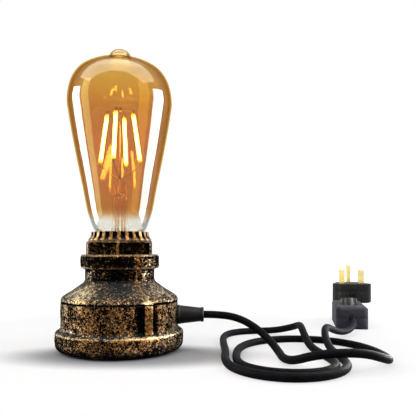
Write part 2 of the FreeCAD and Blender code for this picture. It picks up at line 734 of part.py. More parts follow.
def gland_and_leads():
    """Tapered cord gland, its locknut, and the cord's end with its two cores inside the base."""
    seat = "(barrel_radius - gland_seat)"
    tail = "(casting_wall - gland_seat + 5)"
    taper = cone("gland_foot_radius", "gland_tip_radius", "gland_length - gland_rim", seat, "0",
                 "gland_level", "x")
    rim = cylinder("gland_tip_radius + 0.35", "gland_rim", f"{seat} + gland_length - gland_rim", "0",
                   "gland_level", "x")
    thread = cylinder("gland_thread_radius", tail, f"{seat} - {tail}", "0", "gland_level", "x")
    bore = cylinder("cord_radius + cord_play", "60", "10", "0", "gland_level", "x")
    node("cord_gland", cut(fuse(taper, rim, thread), bore))

    nut = doc.addObject("Part::Prism", "prism")
    nut.Polygon = 6
    bind(nut, "Circumradius", "nut_flats / 2 / cos(30)")
    bind(nut, "Height", "nut_height")
    nut.Placement = Placement(Vector(), Rotation(Vector(0, 1, 0), 90))
    half = "(nut_flats / 2 / cos(30))"
    inner_face = f"(sqrt(({CAVITY}) ^ 2 - {half} ^ 2) - 0.05)"
    place(nut, f"{inner_face} - nut_height", "0", "gland_level")
    nut_bore = cylinder("gland_thread_radius + 0.02", "30", "15", "0", "gland_level", "x")
    node("gland_locknut", cut(nut, nut_bore))

    start = number(seat) - number(tail) - 4
    length = number(seat) + number("gland_length") - start
    sheath = cylinder("cord_radius", str(length), str(start), "0", "gland_level", "x")
    node("cord_sheath_end", sheath)
    level = number("gland_level")
    target = number(f"{BLOCK_BOTTOM} - terminal_height / 2")
    offset = number("terminal_offset")
    end = number("terminal_side") / 2
    for name, side in (("live_core", 1), ("neutral_core", -1)):
        points = [(start, side * 1.1, level), (start - 3.5, side * 1.1, level),
                  (start - 7.5, side * 3.6, (level + target) / 2),
                  (end + 3.5, side * offset, target), (end, side * offset, target)]
        node(name, solid(route_tube(points, number("core_radius"))[0]))


def along_switch():
    """Where the in-line switch lies: its own +X runs from the lamp's side to the plug's."""
    turn = Rotation(Vector(0, 0, 1), number("switch_turn"))
    return Placement(Vector(number("switch_x"), number("switch_y"), 0), turn)


def rounded_slab(length, width, radius, height, z):
    """An upright slab with rounded corners, centred on the switch."""
    x = f"({length}) / 2"
    y = f"({width}) / 2"
    radius = f"({radius})"
    slab = padded("XY_Plane", [
        (f"-{x} + {radius}", f"-{y}"), (f"{x} - {radius}", f"-{y}", radius),
        (x, f"-{y} + {radius}"), (x, f"{y} - {radius}", radius),
        (f"{x} - {radius}", y), (f"-{x} + {radius}", y, radius),
        (f"-{x}", f"{y} - {radius}"), (f"-{x}", f"-{y} + {radius}", radius),
    ], height)
    return place(slab, z=z)


def cord_hole():
    """The cord's way in and out, along the joint between the switch's two shells."""
    return cylinder("cord_radius + cord_play", "2 * switch_length", "-switch_length", "0",
                    "switch_split", "x")


def inline_switch():
    """In-line rocker switch: two case shells, rocker, see-saw contact, terminals and screws."""
    where = along_switch()
    inner = ("switch_length - 2 * switch_wall", "switch_width - 2 * switch_wall", "switch_corner - 1")
    post = "2.8"
    posts = [(-22, 7.6), (22, -7.6)]
    lower = cut(rounded_slab("switch_length", "switch_width", "switch_corner", "switch_split", "0"),
                rounded_slab(*inner, "switch_split", "switch_wall"))
    lower_posts = [cylinder(post, "switch_split - 0.5", x, y, "0.5") for x, y in posts]
    lower_holes = [cylinder("1.35", "switch_split + 1", x, y, "-0.5") for x, y in posts]
    sinks = [cylinder("2.4", "2.2", x, y, "-0.1") for x, y in posts]
    node("switch_lower_case", cut(fuse(lower, *lower_posts), cord_hole(), *lower_holes, *sinks), where)

    blank = rounded_slab("switch_length", "switch_width", "switch_corner", "switch_height - switch_split",
                         "switch_split")
    blank_shape = doc.addObject("Part::Chamfer", "edge")
    blank_shape.Base = blank
    doc.recompute()
    top = number("switch_height")
    edge = number("switch_edge")
    numbers = [index for index, item in enumerate(blank.Shape.Edges, 1)
               if abs(item.CenterOfMass.z - top) < 1e-4]
    blank_shape.Edges = [(index, edge, edge) for index in numbers]
    hollow = rounded_slab(*inner, "switch_height - switch_split - switch_wall", "switch_split")
    shell = cut(blank_shape, hollow)
    opening = rounded_slab("opening_length", "opening_width", "opening_width / 2 - 0.01", "6",
                           "switch_height - 5")
    upper_posts = [cylinder(post, "switch_height - switch_split - 1", x, y, "switch_split") for x, y in posts]
    upper_holes = [cylinder("1.3", "6", x, y, "switch_split - 0.1") for x, y in posts]
    ears = [box("5", "1.4", "switch_height - rocker_axis + 1.6", "0",
                f"{side} * (opening_width / 2 + 1.0)", "rocker_axis - 2.2") for side in (1, -1)]
    pivot = cylinder("1.25", "opening_width + 4", "0", "-opening_width / 2 - 2", "rocker_axis", "y")
    upper = cut(fuse(shell, *upper_posts, *ears), opening, pivot, cord_hole(), *upper_holes)
    node("switch_upper_case", upper, where)

    tilt = number("rocker_tilt")
    axis = Vector(0, 0, number("rocker_axis"))
    rocked = where * Placement(Vector(), Rotation(Vector(0, 1, 0), tilt), axis)
    half = "rocker_length / 2"
    side_view = padded("XZ_Plane", [
        (f"-{half}", "rocker_axis - 2.4"), (half, "rocker_axis - 2.4"), (half, "rocker_axis + 4.3", "-48"),
        (f"-{half}", "rocker_axis + 4.3"),
    ], "rocker_width + 4", midplane=True)
    plan = rounded_slab("rocker_length", "rocker_width", "rocker_width / 2 - 0.01", "12", "rocker_axis - 5")
    trunnion = cylinder("1.2", "rocker_width + 3.2", "0", "-rocker_width / 2 - 1.6", "rocker_axis", "y")
    well = cylinder("1.75", "4.2", "0", "0", "rocker_axis - 2.6")
    node("switch_rocker", cut(fuse(common(side_view, plan), trunnion), well), rocked)
    tip = fuse(cylinder("1.6", "2.9", "0", "0", "rocker_axis - 4.4"),
               cone("0.7", "1.6", "0.8", "0", "0", "rocker_axis - 5.2"))
    node("rocker_plunger", tip, rocked)
    wire_radius, coil_radius, coil_length, turns, corners = 0.18, 1.25, 2.4, 4, 8
    coil = []
    for step in range(turns * corners + 1):
        angle = 2 * math.pi * step / corners
        rise = number("rocker_axis") - 1.2 + coil_length * step / (turns * corners)
        coil.append((coil_radius * math.cos(angle), coil_radius * math.sin(angle), rise))
    node("plunger_spring", solid(route_tube(coil, wire_radius)[0]), rocked)

    lean = number("seesaw_tilt")
    pivot_level = number("rocker_axis") - 6.1
    seesaw = box("seesaw_length", "4.4", "0.7", "0", "0", str(pivot_level + 0.1))
    lugs = [box("2.4", "0.5", "1.7", "0", f"{side} * 2.0", str(pivot_level - 0.9)) for side in (1, -1)]
    node("switch_seesaw", fuse(seesaw, *lugs),
         where * Placement(Vector(), Rotation(Vector(0, 1, 0), -lean), Vector(0, 0, pivot_level)))
    floor_level = "switch_wall"
    knife = fuse(box("5", "3.0", "0.8", "1", "0", floor_level),
                 box("0.8", "2.6", f"{pivot_level - 0.12} - {floor_level}", "0", "0", floor_level),
                 box("10", "3.0", "0.8", "7", "-1.5", floor_level),
                 box("4", "4.6", "4", "13", "-4.5", floor_level))
    drop = number("seesaw_length") / 2 * math.sin(math.radians(lean))
    fixed_height = f"{pivot_level + 0.1 - drop - 0.25} - {floor_level}"
    fixed = fuse(box("3", "3.0", fixed_height, "-6.4", "0", floor_level),
                 box("7", "3.0", "0.8", "-9.5", "-1.5", floor_level),
                 box("4", "4.6", "4", "-13", "-4.5", floor_level))
    node("switch_live_contacts", group(knife, fixed), where)
    link = fuse(box("30", "2.2", "2.4", "0", "6.6", floor_level),
                box("4", "4.6", "4", "-13", "6.6", floor_level),
                box("4", "4.6", "4", "13", "6.6", floor_level))
    node("switch_neutral_link", link, where)
    screws = []
    for x in (-13, 13):
        for y in (-4.5, 6.6):
            shank = cylinder("1.3", "1", x, y, f"{floor_level} + 4")
            head = cylinder("1.9", "1.2", x, y, f"{floor_level} + 4.6")
            slot = box("4.2", "0.5", "0.6", x, y, f"{floor_level} + 5.3")
            screws.append(cut(fuse(shank, head), slot))
    node("switch_terminal_screws", group(*screws), where)
    case_screws = []
    for x, y in posts:
        head = cylinder("2.2", "1.4", x, y, "0.6")
        cross = [box("2.8", "0.6", "0.9", x, y, "0.5"), box("0.6", "2.8", "0.9", x, y, "0.5")]
        shank = cylinder("1.25", "11", x, y, "1.5")
        case_screws.append(cut(fuse(head, shank), *cross))
    node("switch_case_screws", group(*case_screws), where)
    ends = [cylinder("cord_radius", "sheath_inside", start, "0", "switch_split", "x")
            for start in ("-switch_length / 2", "switch_length / 2 - sheath_inside")]
    node("switch_cord_ends", group(*ends), where)
    cores = []
    inset = number("switch_length / 2 - sheath_inside")
    for end in (-1, 1):
        for y in (-4.5, 6.6):
            start = (end * (inset - 0.6), math.copysign(1.15, y), number("switch_split"))
            finish = (end * 15.7, y, number("switch_wall") + 2.2)
            cores.append(rod(start, finish, 0.85))
    node("switch_cores", solid(Part.makeCompound(cores)), where)


def along_plug():
    """Where the plug lies: its own +X runs from the cord's nozzle to the earth pin, pins up."""
    turn = Rotation(Vector(0, 0, 1), number("plug_turn"))
    return Placement(Vector(number("plug_x"), number("plug_y"), 0), turn)


def plug_outline(inset):
    """The plug's outline in plan, or one parallel to it further in."""
    wide = f"(plug_width / 2 - {inset})"
    narrow = f"(plug_top_width / 2 - {inset})"
    end = f"(plug_length - {inset})"
    foot = f"(nozzle_length + {inset} * 1.1)"
    return [
        (f"{foot} + 0.8", "-nozzle_radius - 1.5"), (foot, "-nozzle_radius - 5", "11"),
        (f"{foot} + 8", f"-{wide} + 1.2", "8"), (f"{foot} + 13.5", f"-{wide}"),
        (f"{end} - 2.6", f"-{narrow} - 0.9", "3"), (end, f"-{narrow} + 2.2"),
        (end, f"{narrow} - 2.2", "3"), (f"{end} - 2.6", f"{narrow} + 0.9"),
        (f"{foot} + 13.5", wide, "8"), (f"{foot} + 8", f"{wide} - 1.2", "11"),
        (foot, "nozzle_radius + 5"), (f"{foot} + 0.8", "nozzle_radius + 1.5"),
    ]


def pin_at(x, y, width_x, width_y, length, foot):
    """A rectangular plug pin with a chamfered tip and a broad foot inside the plug."""
    tip = doc.addObject("Part::Wedge", "tip")
    for prop, text in (("Xmin", "0"), ("Ymin", "0"), ("Zmin", "0"), ("X2min", "0.9"), ("Z2min", "0.9"),
                       ("Xmax", width_x), ("Ymax", "1.6"), ("Zmax", width_y), ("X2max", f"{width_x} - 0.9"),
                       ("Z2max", f"{width_y} - 0.9")):
        bind(tip, prop, text)
    tip.Placement = Placement(Vector(), Rotation(Vector(1, 0, 0), 90))
    place(tip, f"({x}) - ({width_x}) / 2", f"({y}) + ({width_y}) / 2", f"plug_thickness + {length} - 1.6")
    shortened = box(width_x, width_y, f"{length} + {foot} - 1.6", x, y, f"plug_thickness - {foot}")
    return fuse(shortened, tip)


def plug():
    """Rewirable three-pin plug lying on its back: base, cover, pins, fuse, grip and screws."""
    where = along_plug()
    row = "(nozzle_length + pin_row)"
    earth = "(nozzle_length + pin_row + pin_spacing)"
    half = "(pin_spacing / 2)"
    base = place(padded("XY_Plane", plug_outline("0"), "plug_thickness - plug_split"), z="plug_split")
    room = place(padded("XY_Plane", plug_outline("plug_wall"), "plug_thickness - plug_split - 3"),
                 z="plug_split")
    tower_height = "plug_thickness - plug_split - 1"
    screw_x = "nozzle_length + cover_screw_row"
    grip_x = "nozzle_length + grip_row"
    tower = cylinder("3.6", tower_height, screw_x, "0", "plug_split")
    towers = [cylinder("3.4", tower_height, grip_x, f"{side} * grip_offset", "plug_split")
              for side in (1, -1)]
    cover_hole = [cylinder("1.85", "plug_thickness", screw_x, "0", "1"),
                  cylinder("3.35", "3", screw_x, "0", "plug_thickness - 2.6")]
    grip_holes = []
    for side in (1, -1):
        y = f"{side} * grip_offset"
        grip_holes.append(cylinder("1.45", "plug_thickness", grip_x, y, "1"))
        grip_holes.append(cylinder("2.45", "3", grip_x, y, "plug_thickness - 1.9"))
    play = "0.04"
    slots = [box(f"pin_depth + 2 * {play}", f"pin_width + 2 * {play}", "plug_thickness", row,
                 f"{side} * {half}", "plug_split - 1") for side in (1, -1)]
    slots.append(box(f"earth_width + 2 * {play}", f"pin_depth + 2 * {play}", "plug_thickness", earth, "0",
                     "plug_split - 1"))
    node("plug_base", cut(fuse(cut(base, room), tower, *towers), *cover_hole, *grip_holes, *slots,
                          nozzle_bore()), where)

    back = padded("XY_Plane", plug_outline("0"), "plug_split")
    back_room = place(padded("XY_Plane", plug_outline("plug_wall"), "plug_split"), z="plug_wall")
    stud = cylinder("3.0", "plug_split - 0.5", screw_x, "0", "0.5")
    stud_hole = cylinder("1.6", "plug_split", screw_x, "0", "3")
    node("plug_cover", cut(fuse(cut(back, back_room), stud), stud_hole, nozzle_bore()), where)

    for name, side in (("live_pin", 1), ("neutral_pin", -1)):
        pin = pin_at(row, f"{side} * {half}", "pin_depth", "pin_width", "pin_length", "6.0")
        foot = box("7.4", "7.4", "3.4", row, f"{side} * {half}", "plug_thickness - 9.3")
        node(name, fuse(pin, foot), where)
    earth_pin = pin_at(earth, "0", "earth_width", "pin_depth", "earth_length", "6.0")
    earth_foot = box("9", "7", "3.4", earth, "0", "plug_thickness - 9.3")
    node("earth_pin", fuse(earth_pin, earth_foot), where)

    fuse_start = "nozzle_length + 10.2"
    fuse_y = "pin_spacing / 2 - 2.6"
    fuse_z = "plug_split - 4.2"
    tube = cylinder("fuse_radius - 0.15", "fuse_length - 12.4", f"{fuse_start} + 6.2", fuse_y, fuse_z, "x")
    caps = [cylinder("fuse_radius", "6.2", fuse_start, fuse_y, fuse_z, "x"),
            cylinder("fuse_radius", "6.2", f"{fuse_start} + fuse_length - 6.2", fuse_y, fuse_z, "x")]
    node("plug_fuse", group(tube, *caps), where)
    clips = []
    for start in (f"{fuse_start} + 0.4", f"{fuse_start} + fuse_length - 5.4"):
        jaw = box("5", "fuse_radius * 2 + 1", "fuse_radius + 1.9", f"{start} + 2.5", fuse_y,
                  f"{fuse_z} - 1.2")
        tunnel = cylinder("fuse_radius + 0.02", "7", f"{start} - 1", fuse_y, fuse_z, "x")
        clips.append(cut(jaw, tunnel))
    node("fuse_clips", group(*clips), where)

    screw = fuse(cylinder("3.2", "2.2", screw_x, "0", "plug_thickness - 2.6"),
                 cylinder("1.55", "plug_thickness - 6.5", screw_x, "0", "4"))
    slot = box("0.9", "8", "1.2", screw_x, "0", "plug_thickness - 1.3")
    node("plug_cover_screw", cut(screw, slot), where)
    grips = []
    for side in (1, -1):
        y = f"{side} * grip_offset"
        body = fuse(cylinder("2.3", "1.4", grip_x, y, "plug_thickness - 1.9"),
                    cylinder("1.35", "plug_thickness - 9", grip_x, y, "7.4"))
        grips.append(cut(body, box("0.7", "6", "0.9", grip_x, y, "plug_thickness - 1.3")))
    node("cord_grip_screws", group(*grips), where)
    bar = box("4.6", "17.6", "2.2", grip_x, "0", "plug_cord_level - cord_radius - 2.2")
    bar_holes = [cylinder("1.4", "8", grip_x, f"{side} * grip_offset", "plug_cord_level - 7")
                 for side in (1, -1)]
    node("cord_grip_bar", cut(bar, *bar_holes), where)
    neutral_screw = cut(cylinder("1.9", "1.6", row, f"-{half}", "plug_thickness - 11.0"),
                        box("0.5", "5", "0.6", row, f"-{half}", "plug_thickness - 11.1"))
    live_screw = cut(cylinder("1.6", "1.3", f"{fuse_start} + fuse_length - 2.9", f"{fuse_y}",
                              f"{fuse_z} - 4.7"),
                     box("0.5", "4", "0.5", f"{fuse_start} + fuse_length - 2.9", fuse_y, f"{fuse_z} - 4.8"))
    node("plug_terminal_screws", group(neutral_screw, live_screw), where)
    collar = cylinder("nozzle_radius + 1.2", "1", "nozzle_length + plug_wall * 1.1 + 0.85", "0",
                      "plug_cord_level", "x")
    sleeve = cylinder("nozzle_radius", "nozzle_length + plug_wall * 1.1 + 1.85", "0", "0",
                      "plug_cord_level", "x")
    guard_bore = cylinder("cord_radius + cord_play", "40", "-5", "0", "plug_cord_level", "x")
    node("plug_cord_guard", cut(fuse(sleeve, collar), guard_bore), where)
    sheath = cylinder("cord_radius", "nozzle_length + 10", "0", "0", "plug_cord_level", "x")
    node("plug_cord_end", group(sheath), where)
    level = number("plug_cord_level")
    cord_end = number("nozzle_length + 10")
    beside_pin = number(f"{half} - 3.4")
    neutral = [(cord_end + 0.05, -1.15, level), (cord_end + 2.5, -1.15, level),
               (cord_end + 5, -beside_pin, level + 1.2), (cord_end + 7.5, -beside_pin, level + 1.6)]
    beside_fuse = number(fuse_y) - number("fuse_radius") - 1.35
    live = [(cord_end + 0.05, 1.15, level), (cord_end + 4, 1.15, level),
            (cord_end + 8, beside_fuse, level - 0.4),
            (number(f"{fuse_start} + fuse_length - 2"), beside_fuse, level - 0.6)]
    node("plug_cores", solid(Part.makeCompound([route_tube(neutral, 0.8)[0],
                                                route_tube(live, 0.8)[0]])), where)


def nozzle_bore():
    return cylinder("nozzle_radius + 0.03", "nozzle_length * 2 + 4", "nozzle_length - 4", "0",
                    "plug_cord_level", "x")


# The cord lies on the floor: points are its centre line's corners.
FLOOR = 2.35
OVER = 10.8
LAMP_LEAD = [
    (52, 0, 21.5), (63.5, 0, 21.5), (75.5, -1.4, 18.8), (85.5, -6.5, 13), (92, -16, 7.2), (95, -27.5, 3.4),
    (95.6, -39.5, FLOOR), (99.2, -51.2, 3.6), (107.6, -61, 8.4), (119.8, -66.2, OVER), (133, -65.8, 10.4),
    (144.4, -59, 6.4), (151, -47.4, 3.2), (153.5, -33, FLOOR), (152, -15, FLOOR), (146, 3, FLOOR),
    (133, 17.5, FLOOR), (114.5, 24, FLOOR), (96, 20.5, FLOOR), (81.5, 9, FLOOR), (73.2, -8.5, FLOOR),
    (70.4, -28, FLOOR), (70, -46.5, FLOOR), (73.4, -60, FLOOR), (83, -70.2, FLOOR), (96.6, -74.4, FLOOR),
    (110.2, -71.4, FLOOR), (119.6, -60.8, FLOOR), (122, -46, FLOOR), (119.5, -28, FLOOR), (116, -10, 3.4),
    (115.4, 3.5, 7.6), (115.8, 17, OVER), (117, 30.5, OVER), (113.4, 43.4, 7), (104, 53.2, 3.4),
    (91, 57.4, FLOOR), (77.6, 54, FLOOR), (68.4, 44, FLOOR), (64.8, 29, FLOOR), (64.3, 7, FLOOR),
    (65, -18, FLOOR), (63.6, -41, FLOOR), (66, -59.5, FLOOR), (75.2, -74, FLOOR), (90, -82, FLOOR),
    (106.5, -80.5, FLOOR), (119.5, -71, FLOOR), (127, -56, FLOOR), (128, -37, FLOOR), (126.5, -18, 3.2),
    (126.8, -4, 6.8), (129, 9, OVER), (133.6, 21.5, OVER), (141.5, 32.5, 6.2), (150.6, 42.6, 3.6),
    (159, 53.4, 4.8), (164.31, 66.34, 8), (166.564, 79.141, 8),
]
PLUG_LEAD = [
    (176.636, 136.259, 8), (178.72, 148.08, 8), (182.4, 160.4, 5.6), (188.6, 172.6, 3.2),
    (196.4, 184.6, FLOOR), (203.6, 198.4, FLOOR), (209.4, 213.4, 2.6), (214.2, 228.2, 4.4),
    (217.8, 241.6, 7.8), (220.641, 255.071, 10),
    (222, 268, 10),
]


def cords():
    """The lamp lead from gland to switch and the short lead from switch to plug."""
    radius = number("cord_radius")
    for name, points in (("lamp_lead", LAMP_LEAD), ("plug_lead", PLUG_LEAD)):
        tube, length, radii = route_tube(points, radius)
        section = math.pi * radius ** 2
        print(name, "length", round(length, 1), "volume ratio", round(tube.Volume / (section * length), 4),
              "smallest radii", [round(item, 1) for item in sorted(radii)[:4]])
        node(name, solid(tube))


base_casting()
base_closing()
bushing_and_ring()
lampholder()
bulb()
gland_and_leads()
inline_switch()
plug()
cords()
doc.recompute()

for item in doc.Objects:
    if "Invalid" in item.State or "Error" in item.State:
        raise RuntimeError(f"{item.Name} ({item.Label}) failed: {item.State}")
for item in nodes:
    if item.Shape.isNull() or not item.Shape.isValid() or item.Shape.Volume <= 0:
        raise RuntimeError(f"{item.Label} has no valid shape")

os.makedirs("parts", exist_ok=True)
for item in nodes:
    item.Shape.exportStep(f"parts/{item.Label}.step")
print(len(nodes), "sub-parts")
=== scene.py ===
import json
import math

import bmesh
import bpy
from mathutils import Matrix, Vector, noise


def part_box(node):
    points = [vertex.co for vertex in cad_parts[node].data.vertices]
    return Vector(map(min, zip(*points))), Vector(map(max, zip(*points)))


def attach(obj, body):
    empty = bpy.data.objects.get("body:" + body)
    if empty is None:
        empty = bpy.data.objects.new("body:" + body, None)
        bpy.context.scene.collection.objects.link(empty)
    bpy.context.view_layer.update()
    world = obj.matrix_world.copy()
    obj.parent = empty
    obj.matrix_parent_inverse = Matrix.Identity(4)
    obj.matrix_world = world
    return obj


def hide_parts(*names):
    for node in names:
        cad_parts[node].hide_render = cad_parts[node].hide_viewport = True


# Table lamp of cast pipe fittings with an LED filament bulb, an in-line switch and a three-pin plug.
# The lamp's axis is Z, and its front looks to -Y. Camera, lamps and cords are in metres. Outlines
# and points of the other pieces are in millimetres, and are turned to metres where a piece is made.

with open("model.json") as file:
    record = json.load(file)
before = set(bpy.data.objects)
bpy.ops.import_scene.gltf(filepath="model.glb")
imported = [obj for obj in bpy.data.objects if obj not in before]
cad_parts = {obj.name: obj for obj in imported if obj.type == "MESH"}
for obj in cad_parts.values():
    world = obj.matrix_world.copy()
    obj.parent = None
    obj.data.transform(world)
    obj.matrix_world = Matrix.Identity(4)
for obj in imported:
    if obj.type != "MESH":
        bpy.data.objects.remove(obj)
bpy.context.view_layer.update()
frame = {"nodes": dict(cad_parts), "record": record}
nodes = frame["nodes"]
scene = bpy.context.scene
MM = 0.001


def level(node, end):
    """The lowest (end 0) or highest (end 1) point of a CAD node, in millimetres."""
    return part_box(node)[end].z / MM


def reach(node):
    """How far a CAD node spreads from the lamp's axis along Y, in millimetres."""
    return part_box(node)[1].y / MM


# ---------------------------------------------------------------- camera
# The camera looks level, and its shift puts the horizon this many pixels below the frame's top.
FRAME_PIXELS = 416
FOCAL_PIXELS = 515
HORIZON_PIXEL = 250
SENSOR_WIDTH = 36
CAMERA_PLACE = (0.0546, -0.320, 0.0615)

camera_data = bpy.data.cameras.new("camera")
camera_data.sensor_width = SENSOR_WIDTH
camera_data.lens = SENSOR_WIDTH * FOCAL_PIXELS / FRAME_PIXELS
camera_data.shift_y = (HORIZON_PIXEL - FRAME_PIXELS / 2) / FRAME_PIXELS
camera_data.clip_start = 0.01
camera = bpy.data.objects.new("camera", camera_data)
camera.location = CAMERA_PLACE
camera.rotation_euler = (math.radians(90), 0, 0)
scene.collection.objects.link(camera)
scene.camera = camera


# ---------------------------------------------------------------- studio
def linear(code):
    """An sRGB hex colour as linear red, green, blue and alpha."""
    parts = [int(code[place:place + 2], 16) / 255 for place in (1, 3, 5)]
    return tuple(c / 12.92 if c <= 0.04045 else ((c + 0.055) / 1.055) ** 2.4 for c in parts) + (1,)


def feed(tree, node, inputs):
    """Gives a node's inputs what they take: a number, a hex colour or another node's socket."""
    for name, value in inputs.items():
        if isinstance(value, bpy.types.NodeSocket):
            tree.links.new(value, node.inputs[name])
        else:
            node.inputs[name].default_value = linear(value) if isinstance(value, str) else value


def add(tree, kind, inputs=None, output=0, stops=(), **settings):
    """Adds a node with its settings and links, and returns one output. stops are a ramp's colours."""
    node = tree.nodes.new(kind)
    for name, value in settings.items():
        setattr(node, name, value)
    feed(tree, node, inputs or {})
    for _ in stops[2:]:
        node.color_ramp.elements.new(0.5)
    for index, (place, colour) in enumerate(stops):
        node.color_ramp.elements[index].position = place
        node.color_ramp.elements[index].color = linear(colour)
    return node.outputs[output]


def seen_rays(tree):
    """1 for rays from the camera, a mirror or glass, and 0 for rays that only carry light."""
    camera_rays, glossy_rays, glass_rays = (
        add(tree, "ShaderNodeLightPath", output=f"Is {kind} Ray")
        for kind in ("Camera", "Glossy", "Transmission"))
    mirrored = add(tree, "ShaderNodeMath", {0: camera_rays, 1: glossy_rays}, operation="MAXIMUM")
    return add(tree, "ShaderNodeMath", {0: mirrored, 1: glass_rays}, operation="MAXIMUM")


WORLD_LIGHT = 0.26


def studio_world():
    """White where it is seen, and a dim white light on everything else."""
    world = bpy.data.worlds.new("studio")
    world.use_nodes = True
    scene.world = world
    tree = world.node_tree
    strength = add(tree, "ShaderNodeMapRange", {
        "Value": seen_rays(tree), "To Min": WORLD_LIGHT, "To Max": 1.0})
    feed(tree, tree.nodes["Background"], {"Color": WHITE, "Strength": strength})


def lamp(name, place, aim, width, height, radiance, colour, hidden_from):
    """A softbox: a rectangle that looks from its place at the point aimed at. The camera, glass and
    the kinds of ray that it is hidden from don't see it."""
    light = bpy.data.lights.new(name, "AREA")
    light.shape = "RECTANGLE"
    light.size = width
    light.size_y = height
    light.energy = radiance * math.pi * width * height
    light.color = linear(colour)[:3]
    thing = bpy.data.objects.new(name, light)
    thing.location = place
    thing.rotation_euler = (Vector(aim) - Vector(place)).to_track_quat("-Z", "Y").to_euler()
    for rays in ("camera", "transmission", *hidden_from):
        setattr(thing, "visible_" + rays, False)
    scene.collection.objects.link(thing)


WHITE = "#ffffff"
WARM_WHITE = "#fff8e0"
PALE_GOLD = "#f6fb9a"
DEEP_GOLD = "#ffc93c"
MIDDLE = (0, 0, 0.08)
LIGHT_ONLY, MIRRORED_ONLY = ("glossy",), ("diffuse",)
# Name, place, point aimed at, width, height, radiance, colour and rays it is hidden from. The
# softboxes light everything. The others only mirror in the bulb: the sheet as a milky band over
# the dome, the strips as white bars down the glass, and the veils as golden bands beside them.
LAMPS = [
    ("front softbox", (-0.15, -1.0, 0.95), MIDDLE, 2.0, 0.9, 1.2, WHITE, LIGHT_ONLY),
    ("top softbox", (0.0, 0.1, 1.2), MIDDLE, 1.0, 0.8, 1.0, WHITE, ()),
    ("left softbox", (-0.85, -0.15, 0.5), MIDDLE, 0.5, 0.6, 3.6, WHITE, LIGHT_ONLY),
    ("right softbox", (0.85, -0.15, 0.5), MIDDLE, 0.5, 0.6, 3.4, WHITE, LIGHT_ONLY),
    ("ceiling sheet", (0, -0.35, 1.15), (0, -0.349, 0.165), 3.2, 1.0, 5.0, WARM_WHITE, MIRRORED_ONLY),
    ("left strip", (-0.219, 0.005, 0.12), (-0.02, -0.02, 0.12), 0.1, 0.24, 22, WHITE, MIRRORED_ONLY),
    ("right strip", (0.2203, -0.0045, 0.12), (0.0243, -0.0425, 0.12), 0.071, 0.24, 22, WHITE,
     MIRRORED_ONLY),
    ("right edge strip", (0.2085, 0.0555, 0.12), (0.0125, 0.0175, 0.12), 0.043, 0.24, 22, WHITE,
     MIRRORED_ONLY),
    ("left veil", (-0.20, -0.095, 0.14), (-0.02, -0.02, 0.14), 0.07, 0.3, 5.0, PALE_GOLD,
     MIRRORED_ONLY),
    ("right veil", (0.19, -0.115, 0.14), (0.02, -0.02, 0.14), 0.09, 0.3, 3.2, DEEP_GOLD,
     MIRRORED_ONLY),
]

FLOOR_REACH = 6
# The painted shadow round the base, where the grey paper is not lifted: its middle, how much
# wider than deep it is, and how far out it starts to fade and is gone.
SHADOW_MIDDLE = (0.009, -0.02, 0)
SHADOW_STRETCH = 2.1
SHADOW_FADES, SHADOW_ENDS = 0.0195, 0.0425
# Where the far floor starts and is full, and how much the paper is lifted beyond the shadow and,
# on top of that, on the far floor.
FAR_STARTS, FAR_ENDS = 0.16, 0.55
CLOSE_LIFT, FAR_LIFT = 0.58, 0.5


def paper_sweep():
    """A floor of matt grey-white paper. It is lifted to white where it is seen, except close round
    the base, where the grey paper stays as a painted contact shadow over the real one."""
    mesh = bpy.data.meshes.new("floor")
    corners = ((-1, -1), (1, -1), (1, 1), (-1, 1))
    mesh.from_pydata([(x * FLOOR_REACH, y * FLOOR_REACH, 0) for x, y in corners], [], [(0, 1, 2, 3)])
    floor = bpy.data.objects.new("floor", mesh)
    scene.collection.objects.link(floor)
    paper = bpy.data.materials.new("paper sweep")
    paper.use_nodes = True
    tree = paper.node_tree
    place = add(tree, "ShaderNodeTexCoord", output="Object")
    beside = add(tree, "ShaderNodeVectorMath", {0: place, 1: SHADOW_MIDDLE}, operation="SUBTRACT")
    beside = add(tree, "ShaderNodeVectorMath", {0: beside, 1: (1 / SHADOW_STRETCH, 1, 1)},
                 operation="MULTIPLY")
    beside = add(tree, "ShaderNodeVectorMath", {0: beside}, output="Value", operation="LENGTH")
    away = add(tree, "ShaderNodeVectorMath", {0: place}, output="Value", operation="LENGTH")
    close = add(tree, "ShaderNodeMapRange", {
        "Value": beside, "From Min": SHADOW_FADES, "From Max": SHADOW_ENDS, "To Max": CLOSE_LIFT},
        interpolation_type="SMOOTHSTEP")
    far = add(tree, "ShaderNodeMapRange", {
        "Value": away, "From Min": FAR_STARTS, "From Max": FAR_ENDS, "To Max": FAR_LIFT})
    lift = add(tree, "ShaderNodeMath", {0: close, 1: far}, operation="ADD")
    lift = add(tree, "ShaderNodeMath", {0: lift, 1: seen_rays(tree)}, operation="MULTIPLY")
    feed(tree, tree.nodes["Principled BSDF"], {
        "Base Color": "#b0b2b6", "Roughness": 0.9, "Specular IOR Level": 0.0,
        "Emission Color": WHITE, "Emission Strength": lift})
    mesh.materials.append(paper)


scene.view_settings.view_transform = "Standard"
studio_world()
for row in LAMPS:
    lamp(*row)
paper_sweep()


# ---------------------------------------------------------------- finishes
finishes = {}
# Most of a noise's values lie between these two.
NOISE_LOW, NOISE_HIGH = 0.3, 0.7
# Heights in metres: the coat of the glass fades in over the first two, and gets paler up to the third.
COAT_STARTS, COAT_FULL, COAT_TOP = 0.080, 0.086, 0.18


def finish(slot, name, constants):
    """Starts the material of one slot, with constants on its shader's own sockets."""
    made = bpy.data.materials.new(name)
    made.use_nodes = True
    tree = made.node_tree
    shader = tree.nodes["Principled BSDF"]
    feed(tree, shader, constants)
    finishes[slot] = made
    return tree, shader


